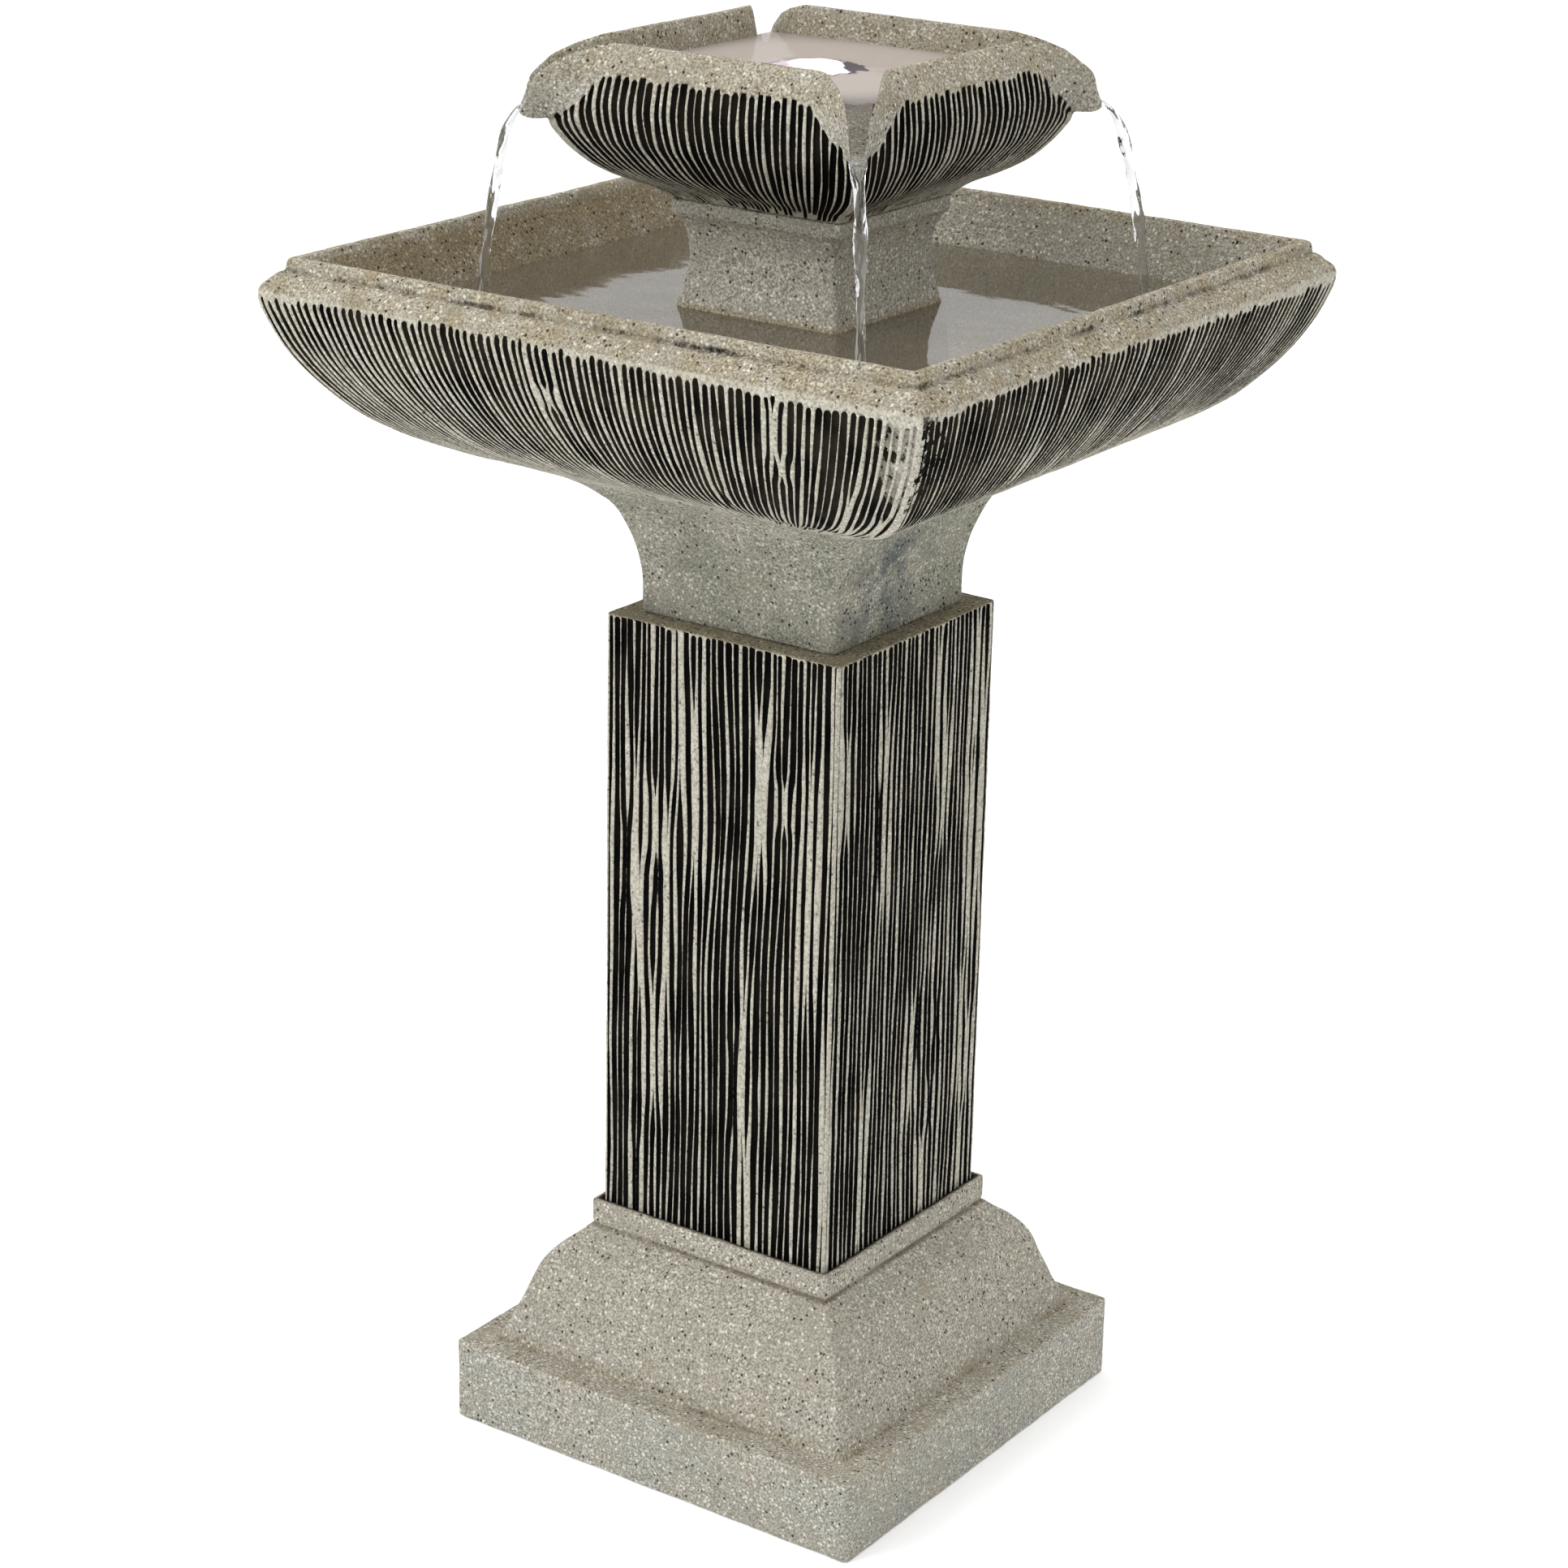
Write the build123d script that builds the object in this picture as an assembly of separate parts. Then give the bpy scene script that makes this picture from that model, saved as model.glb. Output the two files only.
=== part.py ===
"""Two-tier garden water fountain in cast stone: pedestal, pillar, basin, riser and spouted upper bowl.

Millimetres, +Z up, origin on the ground under the middle of the base. -Y is the front.
The leads of the pump and of the lights run down inside the hollow castings and out of a rear notch.
"""

import os
from math import cos, radians, sin, sqrt

from build123d import *

# Stacking heights, from the ground up.
PLINTH_TOP = 56.7
FOOT_TOP = 141.0
COLLAR_TOP = 158.0
PILLAR_BOTTOM = 150.0
PILLAR_TOP = 573.6
NECK_TOP = 600.0
BELLY_BOTTOM = 661.5
BASIN_FLOOR = 704.0
POOL_WALL_FOOT = 773.0
BASIN_WIDEST = 785.0
LIP_FOOT = 802.0
BASIN_TOP = 808.0
RISER_FOOT_TOP = 714.0
RISER_FLANGE = 834.0
RISER_TOP = 841.0
BOWL_BELLY = 845.0
BOWL_WIDEST = 902.0
BOWL_DECK = 916.0
BOWL_TOP = 940.0

# Half-widths of the square castings.
PLINTH_HALF = 162.0
FOOT_HALF = 140.5
COLLAR_HALF = 96.3
PILLAR_HALF = 90.3
NECK_HALF = 75.0
BELLY_HALF = 110.0
BASIN_HALF = 244.0
LIP_OUTER_HALF = 232.0
LIP_INNER_HALF = 224.0
POOL_WALL_HALF = 205.0
POOL_FLOOR_HALF = 168.0
RISER_FOOT_HALF = 68.0
RISER_WAIST_HALF = 55.5
RISER_FLANGE_HALF = 64.0
BOWL_FOOT_HALF = 63.0
BOWL_BELLY_HALF = 68.0
BOWL_HALF = 118.0
BOWL_RIM_HALF = 102.0
BOWL_INNER_HALF = 98.0
SPOUT_TIP_HALF = 128.5

# Casting walls and passages.
WALL = 14.0
CORNER_R = 4.0
PILLAR_CLEARANCE = 0.2
PASSAGE_HALF = 50.0
SPIGOT_HALF, SPIGOT_DEPTH, SPIGOT_WALL = 49.0, 12.0, 7.0
NOTCH_WIDTH, NOTCH_HEIGHT = 36.0, 18.0
CORD_HOLE_R, CORD_HOLE_Y = 7.0, 35.0
STOPPER_LIP, STOPPER_FLANGE = 2.0, 2.5
LEAD_R = 3.2
RISER_INNER_HALF = 46.0
ARCH_WIDTH, ARCH_HEIGHT = 30.0, 16.0
TUBE_PASSAGE_R = 20.0

# Upper bowl: lamp well, underside pocket and corner spouts.
WELL_R, WELL_DEPTH = 32.0, 16.0
POCKET_HALF, POCKET_TOP = 44.0, 886.0
SPOUT_MOUTH_Z, SPOUT_UNDER_Z = 897.0, 891.0
SPOUT_ROOT_HALF_WIDTH, SPOUT_TIP_HALF_WIDTH = 34.0, 8.0
CHANNEL_ROOT_SIZE, CHANNEL_MOUTH_SIZE = (10.0, 17.0), (4.5, 12.0)
CHANNEL_OVERRUN = 16.0

# Nozzle, hose and lights in the upper bowl.
NOZZLE_R, NOZZLE_BORE_R, NOZZLE_FLANGE_R, NOZZLE_FLANGE = 8.0, 4.5, 12.0, 3.0
NOZZLE_STUB = 20.0
HOSE_R, HOSE_BORE_R = 8.0, 6.05
HOSE_BOTTOM, HOSE_TOP = 768.0, 872.0
SEAL_THICKNESS, NUT_THICKNESS, NUT_FLAT = 2.0, 8.0, 12.5
LAMP_R, LAMP_BORE_R, LAMP_HEIGHT, LAMP_WALL = 30.0, 13.0, 11.0, 2.0
BOARD_THICKNESS, LENS_THICKNESS = 1.6, 3.0
DIODE_R, DIODE_HEIGHT, DIODE_COUNT = 2.5, 3.5, 6
GROMMET_R, GROMMET_BORE_R, GROMMET_Y = 4.0, 1.5, 21.0

# Submersible pump: its axis lies along X and its outlet rises on the fountain's centre line.
PUMP_HALF_WIDTH = 21.0
PUMP_BACK, PUMP_SPLIT, PUMP_FACE, PUMP_FRONT = -43.0, -8.0, 8.0, 28.0
CUP_HEIGHT, FOOT_PLATE = 5.0, 3.0
PUMP_BOTTOM = BASIN_FLOOR + CUP_HEIGHT + FOOT_PLATE
PUMP_TOP = 755.0
PUMP_AXIS = (PUMP_BOTTOM + PUMP_TOP) / 2
MOTOR_BORE_R, MOTOR_BORE_END = 10.5, -38.0
CHAMBER_R, CHAMBER_FRONT = 18.0, 5.0
GLAND_R, GLAND_HEIGHT, GLAND_X = 5.0, 6.0, -30.0
INTAKE_R, HUB_R, ARM_COUNT, ARM_SIZE, ARM_MIDDLE = 9.0, 4.5, 3, (10.0, 2.0, 12.0), 6.0
SHAFT_R, SHAFT_BACK, SHAFT_FRONT = 1.25, -40.0, 7.0
BUSH_R, BUSH_BACK, BUSH_LENGTH = 3.0, -41.0, 3.6
ROTOR_BACK, ROTOR_FRONT = -36.8, 3.6
SLEEVE_R, SLEEVE_CLEARANCE, MAGNET_R = 3.5, 0.05, 9.5
VANE_R, VANE_COUNT, VANE_THICKNESS, WHEEL_DISC = 15.0, 6, 1.6, 1.5
ROTOR_GAP = 0.5
SPIGOT_R, SPIGOT_BORE_R, SPIGOT_HEIGHT = 7.0, 4.5, 8.0
BARB_R, BARB_TOP = 6.0, 790.0
STRAINER_WALL = 2.0
SLOT_COUNT, SLOT_WIDTH, SLOT_HEIGHT, SLOT_PITCH, SLOT_INSET = 3, 2.2, 28.0, 4.5, 5.0
FOAM_DEPTH, FOAM_GAP = 13.0, 0.5
DIAL_R, DIAL_STUB_R, DIAL_GAP, DIAL_THICKNESS = 14.5, 4.0, 0.3, 3.0
LEVER_WIDTH, LEVER_HEIGHT = 4.0, 5.0
WINDOW_COUNT, WINDOW_ANGLE = 3, 50.0
CUP_R, CUP_STEM_R = 7.0, 2.5
CUP_PLACES = [(-34.0, 14.0), (-34.0, -14.0), (19.0, 14.0), (19.0, -14.0)]

# Where a primitive solid is held.
FROM_BELOW = (Align.CENTER, Align.CENTER, Align.MIN)
FROM_BACK = (Align.MIN, Align.CENTER, Align.CENTER)
FROM_FRONT = (Align.MAX, Align.CENTER, Align.CENTER)
FROM_BACK_BELOW = (Align.MIN, Align.CENTER, Align.MIN)


def chain_face(*edges):
    """The face between a chain of edges, from the Z axis back to it, and its mirror image."""
    right = Curve() + list(edges)
    return Plane.XZ * make_face(right + mirror(right, about=Plane.YZ))


def square_casting(*edges):
    """A solid of square plan whose half-width follows the chain at every height."""
    slab = extrude(chain_face(*edges), amount=2 * BASIN_HALF, both=True)
    return slab & slab.rotate(Axis.Z, 90)


def block(half, bottom, top):
    """A square block centred on the Z axis."""
    return Pos(0, 0, bottom) * Box(2 * half, 2 * half, top - bottom, align=FROM_BELOW)


def rod(radius, bottom, top, x=0.0, y=0.0):
    """An upright cylinder."""
    return Pos(x, y, bottom) * Cylinder(radius, top - bottom, align=FROM_BELOW)


def axle(radius, start, end):
    """A cylinder on the pump's axis, from one X to another."""
    return Pos(start, 0, PUMP_AXIS) * Rot(0, 90, 0) * Cylinder(radius, end - start, align=FROM_BELOW)


def pump_block(start, end):
    """A block of the pump's cross-section, from one X to another."""
    size = (end - start, 2 * PUMP_HALF_WIDTH, PUMP_TOP - PUMP_BOTTOM)
    return Pos(start, 0, PUMP_AXIS) * Box(*size, align=FROM_BACK)


def base_pedestal():
    """Hollow foot: plinth, ogee shoulder and a collar with a recess for the pillar."""
    collar_foot = (COLLAR_HALF + 1, FOOT_TOP)
    shoulder = Spline((FOOT_HALF, PLINTH_TOP), (134.0, 75.0), (126.5, 98.0), (116.0, 120.5), collar_foot)
    body = square_casting(
        Polyline((0, 0), (PLINTH_HALF, 0), (PLINTH_HALF, PLINTH_TOP), (FOOT_HALF, PLINTH_TOP)),
        shoulder,
        Polyline(collar_foot, (COLLAR_HALF, FOOT_TOP + 1), (COLLAR_HALF, COLLAR_TOP), (0, COLLAR_TOP)),
    )
    deck = PILLAR_BOTTOM - WALL
    hollow = square_casting(
        Polyline(
            (0, -1), (PLINTH_HALF - WALL, -1), (PLINTH_HALF - WALL, PLINTH_TOP - WALL),
            (FOOT_HALF - 1.5 * WALL, PLINTH_TOP - WALL), (COLLAR_HALF - WALL, deck), (0, deck),
        )
    )
    recess = block(PILLAR_HALF + PILLAR_CLEARANCE, PILLAR_BOTTOM, COLLAR_TOP + 1)
    passage = block(PASSAGE_HALF, deck - 1, PILLAR_BOTTOM + 1)
    notch = Pos(0, PLINTH_HALF - WALL / 2, 0) * Box(NOTCH_WIDTH, 2 * WALL, 2 * NOTCH_HEIGHT)
    return fillet(body.edges().filter_by(Axis.Z), CORNER_R) - hollow - recess - passage - notch


def pillar():
    """Hollow square post, open below, with a passage through its top deck."""
    post = block(PILLAR_HALF, PILLAR_BOTTOM, PILLAR_TOP)
    post = fillet(post.edges().filter_by(Axis.Z), CORNER_R)
    hollow = block(PILLAR_HALF - WALL, PILLAR_BOTTOM - 1, PILLAR_TOP - WALL)
    return post - hollow - block(PASSAGE_HALF, PILLAR_TOP - 2 * WALL, PILLAR_TOP + 1)


def lower_basin():
    """Wide basin on a flared hollow neck, with a locating spigot below and a hole for the leads."""
    spigot_bottom = PILLAR_TOP - SPIGOT_DEPTH
    flare = Spline(
        (NECK_HALF, NECK_TOP), (78.8, 621.0), (87.5, 643.0), (BELLY_HALF, BELLY_BOTTOM),
        tangents=[(0, 1), (1, 0.5)],
    )
    belly = Spline(
        (BELLY_HALF, BELLY_BOTTOM), (151.0, 679.5), (192.0, 701.0), (222.0, 733.0), (238.5, 764.0),
        (BASIN_HALF, BASIN_WIDEST), tangents=[(1, 0.5), (0, 1)],
    )
    body = square_casting(
        Polyline(
            (0, spigot_bottom), (SPIGOT_HALF, spigot_bottom), (SPIGOT_HALF, PILLAR_TOP),
            (NECK_HALF, PILLAR_TOP), (NECK_HALF, NECK_TOP),
        ),
        flare,
        belly,
        Polyline(
            (BASIN_HALF, BASIN_WIDEST), (BASIN_HALF - 2, BASIN_WIDEST + 6), (LIP_OUTER_HALF, LIP_FOOT),
            (LIP_OUTER_HALF, BASIN_TOP), (0, BASIN_TOP),
        ),
    )
    above = BASIN_TOP + 1
    wall_foot = (POOL_WALL_HALF, POOL_WALL_FOOT)
    pool = square_casting(
        Line((0, BASIN_FLOOR), (POOL_FLOOR_HALF, BASIN_FLOOR)),
        Spline((POOL_FLOOR_HALF, BASIN_FLOOR), (191.0, 725.0), wall_foot),
        Polyline(wall_foot, (LIP_INNER_HALF, BASIN_TOP), (LIP_INNER_HALF, above), (0, above)),
    )
    inside = SPIGOT_HALF - SPIGOT_WALL
    roof = BASIN_FLOOR - WALL
    hollow = square_casting(
        Polyline(
            (0, spigot_bottom - 1), (inside, spigot_bottom - 1), (inside, PILLAR_TOP),
            (NECK_HALF - WALL, NECK_TOP), (NECK_HALF - WALL, roof), (0, roof),
        )
    )
    return body - pool - hollow - rod(CORD_HOLE_R, BASIN_FLOOR - 2 * WALL, above, y=CORD_HOLE_Y)


def cord_stopper():
    """Rubber stopper in the basin floor, with a flange and a hole for the leads."""
    plug = rod(CORD_HOLE_R, BASIN_FLOOR - WALL - STOPPER_LIP, BASIN_FLOOR, y=CORD_HOLE_Y)
    flange = rod(CORD_HOLE_R + STOPPER_LIP, BASIN_FLOOR, BASIN_FLOOR + STOPPER_FLANGE, y=CORD_HOLE_Y)
    return plug + flange - rod(LEAD_R, BASIN_FLOOR - 2 * WALL, BASIN_FLOOR + 5, y=CORD_HOLE_Y)


def riser_block():
    """Hollow waisted block over the pump, with an arch for water in each side."""
    waist = Spline(
        (RISER_FOOT_HALF, RISER_FOOT_TOP), (62.0, 770.0), (RISER_WAIST_HALF, 808.0),
        (RISER_FLANGE_HALF, RISER_FLANGE),
    )
    body = square_casting(
        Polyline((0, BASIN_FLOOR), (RISER_FOOT_HALF, BASIN_FLOOR), (RISER_FOOT_HALF, RISER_FOOT_TOP)),
        waist,
        Polyline((RISER_FLANGE_HALF, RISER_FLANGE), (RISER_FLANGE_HALF, RISER_TOP), (0, RISER_TOP)),
    )
    hollow = block(RISER_INNER_HALF, BASIN_FLOOR - 1, RISER_TOP - WALL)
    arch = Pos(0, 0, BASIN_FLOOR) * Box(3 * RISER_FOOT_HALF, ARCH_WIDTH, 2 * ARCH_HEIGHT)
    arches = arch + arch.rotate(Axis.Z, 90)
    return body - hollow - arches - rod(TUBE_PASSAGE_R, RISER_TOP - 2 * WALL, RISER_TOP + 1)


def spout_nose():
    """The beak at the +X corner line of the upper bowl: a drooping rim that narrows to its tip."""
    tip = SPOUT_TIP_HALF * sqrt(2)
    root = BOWL_INNER_HALF * sqrt(2)
    droop = Spline((root, BOWL_TOP - 2), (159.8, 931.0), (174.0, 919.0), (tip, SPOUT_MOUTH_Z))
    side = Curve() + [
        Polyline((root, BOWL_TOP - 2), (root, 870.0), (BOWL_HALF * sqrt(2) - 6, 886.0)),
        Polyline((BOWL_HALF * sqrt(2) - 6, 886.0), (BOWL_HALF * sqrt(2), SPOUT_UNDER_Z)),
        Polyline((BOWL_HALF * sqrt(2), SPOUT_UNDER_Z), (tip, SPOUT_UNDER_Z), (tip, SPOUT_MOUTH_Z)),
        droop,
    ]
    wedge = Plane.XY * make_face(
        Polyline(
            (root, -SPOUT_ROOT_HALF_WIDTH), (tip, -SPOUT_TIP_HALF_WIDTH),
            (tip, SPOUT_TIP_HALF_WIDTH), (root, SPOUT_ROOT_HALF_WIDTH), close=True,
        )
    )
    return extrude(Plane.XZ * make_face(side), amount=50, both=True) & extrude(wedge, amount=BOWL_TOP)


def spout_channel():
    """The open channel along the +X corner line, narrowing and falling to the spout's mouth."""
    def section(distance, floor_z, bottom, top):
        plane = Plane(origin=(distance, 0, floor_z), x_dir=(0, 1, 0), z_dir=(1, 0, 0))
        height = BOWL_TOP + 5 - floor_z
        corners = [(-bottom, 0), (bottom, 0), (top, height), (-top, height)]
        return plane * make_face(Polyline(*corners, close=True))

    inner = section(BOWL_INNER_HALF * sqrt(2) - CHANNEL_OVERRUN, BOWL_DECK, *CHANNEL_ROOT_SIZE)
    outer = section(SPOUT_TIP_HALF * sqrt(2) + 2, SPOUT_MOUTH_Z, *CHANNEL_MOUTH_SIZE)
    return loft([inner, outer], ruled=True)


def upper_bowl():
    """Shallow bowl with a spout at each corner, a lamp well and a pocket over the riser."""
    widest, rim_end = (BOWL_HALF, BOWL_WIDEST), (BOWL_RIM_HALF, BOWL_TOP)
    belly_foot = (BOWL_BELLY_HALF, BOWL_BELLY)
    belly = Spline(belly_foot, (97.0, 862.0), (114.0, 884.0), widest, tangents=[(1, 0.5), (0, 1)])
    rim = Spline(widest, (114.0, 920.0), rim_end, tangents=[(0, 1), (-1, 0)])
    body = square_casting(
        Polyline((0, RISER_TOP), (BOWL_FOOT_HALF, RISER_TOP), belly_foot),
        belly,
        rim,
        Line(rim_end, (0, BOWL_TOP)),
    )
    dish = square_casting(
        Polyline(
            (0, BOWL_DECK), (BOWL_INNER_HALF - 1, BOWL_DECK), (BOWL_INNER_HALF, BOWL_TOP - 3),
            (BOWL_INNER_HALF + 2, BOWL_TOP + 1), (0, BOWL_TOP + 1),
        )
    )
    for turn in (45, 135, 225, 315):
        body += spout_nose().rotate(Axis.Z, turn)
    for turn in (45, 135, 225, 315):
        body -= spout_channel().rotate(Axis.Z, turn)
    well_floor = BOWL_DECK - WELL_DEPTH
    body -= dish
    body -= rod(WELL_R, well_floor, BOWL_TOP) + block(POCKET_HALF, RISER_TOP - 1, POCKET_TOP)
    body -= rod(NOZZLE_R, POCKET_TOP - 1, well_floor + 1)
    return body - rod(GROMMET_R, POCKET_TOP - 1, well_floor + 1, y=GROMMET_Y)


def bowl_nozzle():
    """Hollow fitting with a flange in the lamp well and a stub for the hose."""
    well_floor = BOWL_DECK - WELL_DEPTH
    body = rod(NOZZLE_R, HOSE_TOP, BOWL_DECK - 1)
    body += rod(NOZZLE_FLANGE_R, well_floor, well_floor + NOZZLE_FLANGE)
    body += rod(HOSE_BORE_R, HOSE_TOP - NOZZLE_STUB, HOSE_TOP)
    return body - rod(NOZZLE_BORE_R, HOSE_TOP - NOZZLE_STUB - 1, BOWL_DECK)


def nozzle_seal():
    """Flat rubber washer under the bowl's floor."""
    bottom = POCKET_TOP - SEAL_THICKNESS
    return rod(NOZZLE_FLANGE_R, bottom, POCKET_TOP) - rod(NOZZLE_R, bottom - 1, POCKET_TOP + 1)


def nozzle_nut():
    """Hexagonal nut under the washer."""
    top = POCKET_TOP - SEAL_THICKNESS
    hexagon = extrude(RegularPolygon(NUT_FLAT, 6, major_radius=False), amount=NUT_THICKNESS)
    return Pos(0, 0, top - NUT_THICKNESS) * hexagon - rod(NOZZLE_R, top - NUT_THICKNESS - 1, top + 1)


def led_ring_housing():
    """Ring channel, open above, that holds the lights."""
    bottom = BOWL_DECK - WELL_DEPTH
    top = bottom + LAMP_HEIGHT
    ring = rod(LAMP_R, bottom, top) - rod(LAMP_BORE_R, bottom - 1, top + 1)
    trough = rod(LAMP_R - LAMP_WALL, bottom + LAMP_WALL, top + 1)
    return ring - (trough - rod(LAMP_BORE_R + LAMP_WALL, bottom, top + 2))


def led_board():
    """Ring circuit board on the floor of the channel."""
    bottom = BOWL_DECK - WELL_DEPTH + LAMP_WALL
    inner = LAMP_BORE_R + LAMP_WALL
    return rod(LAMP_R - LAMP_WALL, bottom, bottom + BOARD_THICKNESS) - rod(inner, bottom - 1, bottom + 5)


def led_diodes():
    """Domed diodes, evenly spaced on the board."""
    bottom = BOWL_DECK - WELL_DEPTH + LAMP_WALL + BOARD_THICKNESS
    middle = (LAMP_R + LAMP_BORE_R) / 2
    diodes = []
    for index in range(DIODE_COUNT):
        angle = radians(360 / DIODE_COUNT * index + 30)
        x, y = middle * cos(angle), middle * sin(angle)
        dome = rod(DIODE_R, bottom, bottom + DIODE_HEIGHT, x, y)
        diodes.append(fillet(dome.edges().group_by(Axis.Z)[-1], DIODE_R - 0.2))
    return Compound(diodes)


def led_ring_lens():
    """Clear ring that closes the channel."""
    bottom = BOWL_DECK - WELL_DEPTH + LAMP_HEIGHT
    return rod(LAMP_R, bottom, bottom + LENS_THICKNESS) - rod(LAMP_BORE_R, bottom - 1, BOWL_DECK)


def led_grommet():
    """Rubber grommet in the bowl's floor for the light's lead."""
    bottom, top = POCKET_TOP - 1.5, BOWL_DECK - WELL_DEPTH
    bore = rod(GROMMET_BORE_R, bottom - 1, top + 1, y=GROMMET_Y)
    return rod(GROMMET_R, bottom, top, y=GROMMET_Y) - bore


def riser_tube():
    """Clear hose between the pump's adapter and the nozzle."""
    return rod(HOSE_R, HOSE_BOTTOM, HOSE_TOP) - rod(HOSE_BORE_R, HOSE_BOTTOM - 1, HOSE_TOP + 1)


def outlet_adapter():
    """Stepped adapter: a socket over the outlet spigot and a stub that slides in the hose."""
    socket_top = PUMP_TOP + SPIGOT_HEIGHT + 2
    body = rod(SPIGOT_R + 2, PUMP_TOP, socket_top) + rod(BARB_R, socket_top, BARB_TOP)
    body -= rod(SPIGOT_R, PUMP_TOP - 1, PUMP_TOP + SPIGOT_HEIGHT)
    return body - rod(SPIGOT_BORE_R, PUMP_TOP, BARB_TOP + 1)


def pump_housing():
    """Potted motor body with the rotor bore, on the foot plate that carries the whole pump."""
    motor = pump_block(PUMP_BACK, PUMP_SPLIT)
    motor = fillet(motor.edges().filter_by(Axis.X).group_by(Axis.Z)[-1], CORNER_R)
    plate = Pos(PUMP_BACK, 0, PUMP_BOTTOM - FOOT_PLATE) * Box(
        PUMP_FRONT - PUMP_BACK, 2 * PUMP_HALF_WIDTH, FOOT_PLATE, align=FROM_BACK_BELOW
    )
    body = motor + plate - axle(MOTOR_BORE_R, MOTOR_BORE_END, PUMP_SPLIT + 1)
    body -= axle(BUSH_R, BUSH_BACK, MOTOR_BORE_END + 1)
    for x, y in CUP_PLACES:
        body -= rod(CUP_STEM_R, PUMP_BOTTOM - FOOT_PLATE - 1, PUMP_BOTTOM, x, y)
    return body


def pump_cord_gland():
    """Moulded gland on top of the motor body, with the lead's socket."""
    top = PUMP_TOP + GLAND_HEIGHT
    return rod(GLAND_R, PUMP_TOP, top, x=GLAND_X) - rod(LEAD_R, PUMP_TOP + 1, top + 1, x=GLAND_X)


def volute_cover():
    """Pump chamber with its outlet spigot, and a three-armed spider that holds the front bush."""
    body = pump_block(PUMP_SPLIT, PUMP_FACE)
    body = fillet(body.edges().filter_by(Axis.X).group_by(Axis.Z)[-1], CORNER_R)
    body += rod(SPIGOT_R, PUMP_TOP - CORNER_R, PUMP_TOP + SPIGOT_HEIGHT)
    body -= axle(CHAMBER_R, PUMP_SPLIT - 1, CHAMBER_FRONT)
    body -= rod(SPIGOT_BORE_R, PUMP_AXIS, PUMP_TOP + SPIGOT_HEIGHT + 1)
    intake = axle(INTAKE_R, CHAMBER_FRONT - 1, PUMP_FACE + 1)
    intake -= axle(HUB_R, CHAMBER_FRONT - 2, PUMP_FACE + 2)
    for index in range(ARM_COUNT):
        arm = Rot(360 / ARM_COUNT * index, 0, 0) * Pos(0, 0, ARM_MIDDLE) * Box(*ARM_SIZE)
        intake -= Pos(CHAMBER_FRONT, 0, PUMP_AXIS) * arm
    return body - intake - axle(BUSH_R, CHAMBER_FRONT - 1, PUMP_FACE + 1)


def impeller():
    """Six straight vanes on a disc, with a long sleeve that carries the magnet."""
    disc_back = PUMP_SPLIT + ROTOR_GAP
    wheel = axle(VANE_R, disc_back, disc_back + WHEEL_DISC)
    vane = Box(ROTOR_FRONT - disc_back - 1, VANE_THICKNESS, VANE_R - 1, align=FROM_BACK_BELOW)
    for index in range(VANE_COUNT):
        wheel += Pos(disc_back, 0, PUMP_AXIS) * Rot(360 / VANE_COUNT * index, 0, 0) * vane
    wheel += axle(SLEEVE_R, ROTOR_BACK, ROTOR_FRONT)
    return wheel - axle(SHAFT_R + SLEEVE_CLEARANCE, ROTOR_BACK - 1, ROTOR_FRONT + 1)


def rotor_magnet():
    """Ring magnet on the sleeve."""
    back, front = ROTOR_BACK + 1, PUMP_SPLIT - ROTOR_GAP
    return axle(MAGNET_R, back, front) - axle(SLEEVE_R, back - 1, front + 1)


def impeller_shaft():
    """Fixed ceramic shaft."""
    return axle(SHAFT_R, SHAFT_BACK, SHAFT_FRONT)


def shaft_bushes():
    """Two rubber bushes that grip the shaft's ends, the rear one blind."""
    rear = axle(BUSH_R, BUSH_BACK, BUSH_BACK + BUSH_LENGTH) - axle(SHAFT_R, SHAFT_BACK, 0)
    front_back = CHAMBER_FRONT - 0.6
    front = axle(BUSH_R, front_back, PUMP_FACE) - axle(SHAFT_R, front_back - 1, SHAFT_FRONT)
    return Compound([rear, front])


def window_ring(start, end):
    """Sector windows between the dial's stub and its rim, as cutting solids."""
    ring = axle(DIAL_R - 2, start, end) - axle(DIAL_STUB_R + 2, start - 1, end + 1)
    reach = 2 * DIAL_R
    half = radians(WINDOW_ANGLE / 2)
    across, along = reach * sin(half), reach * cos(half)
    sector = Plane.YZ * make_face(Polyline((0, 0), (across, along), (-across, along), close=True))
    sector = Pos(start, 0, PUMP_AXIS) * extrude(sector, amount=end - start)
    middle = Axis((0, 0, PUMP_AXIS), (1, 0, 0))
    return [ring & sector.rotate(middle, 360 / WINDOW_COUNT * index) for index in range(WINDOW_COUNT)]


def strainer_cover():
    """Intake cover: three windows under the dial and slots down both sides."""
    body = pump_block(PUMP_FACE, PUMP_FRONT)
    body = fillet(body.edges().filter_by(Axis.X).group_by(Axis.Z)[-1], CORNER_R)
    width, height = 2 * (PUMP_HALF_WIDTH - STRAINER_WALL), PUMP_TOP - PUMP_BOTTOM - 2 * STRAINER_WALL
    room = Box(PUMP_FRONT - PUMP_FACE, width, height, align=FROM_FRONT)
    body -= Pos(PUMP_FRONT - STRAINER_WALL, 0, PUMP_AXIS) * room
    for window in window_ring(PUMP_FRONT - 2 * STRAINER_WALL, PUMP_FRONT + 1):
        body -= window
    slot = Box(SLOT_WIDTH, 3 * PUMP_HALF_WIDTH, SLOT_HEIGHT)
    for index in range(SLOT_COUNT):
        body -= Pos(PUMP_FACE + SLOT_INSET + SLOT_PITCH * index, 0, PUMP_AXIS) * slot
    return body - axle(DIAL_STUB_R + SLEEVE_CLEARANCE, PUMP_FRONT - 5, PUMP_FRONT + 1)


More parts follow.
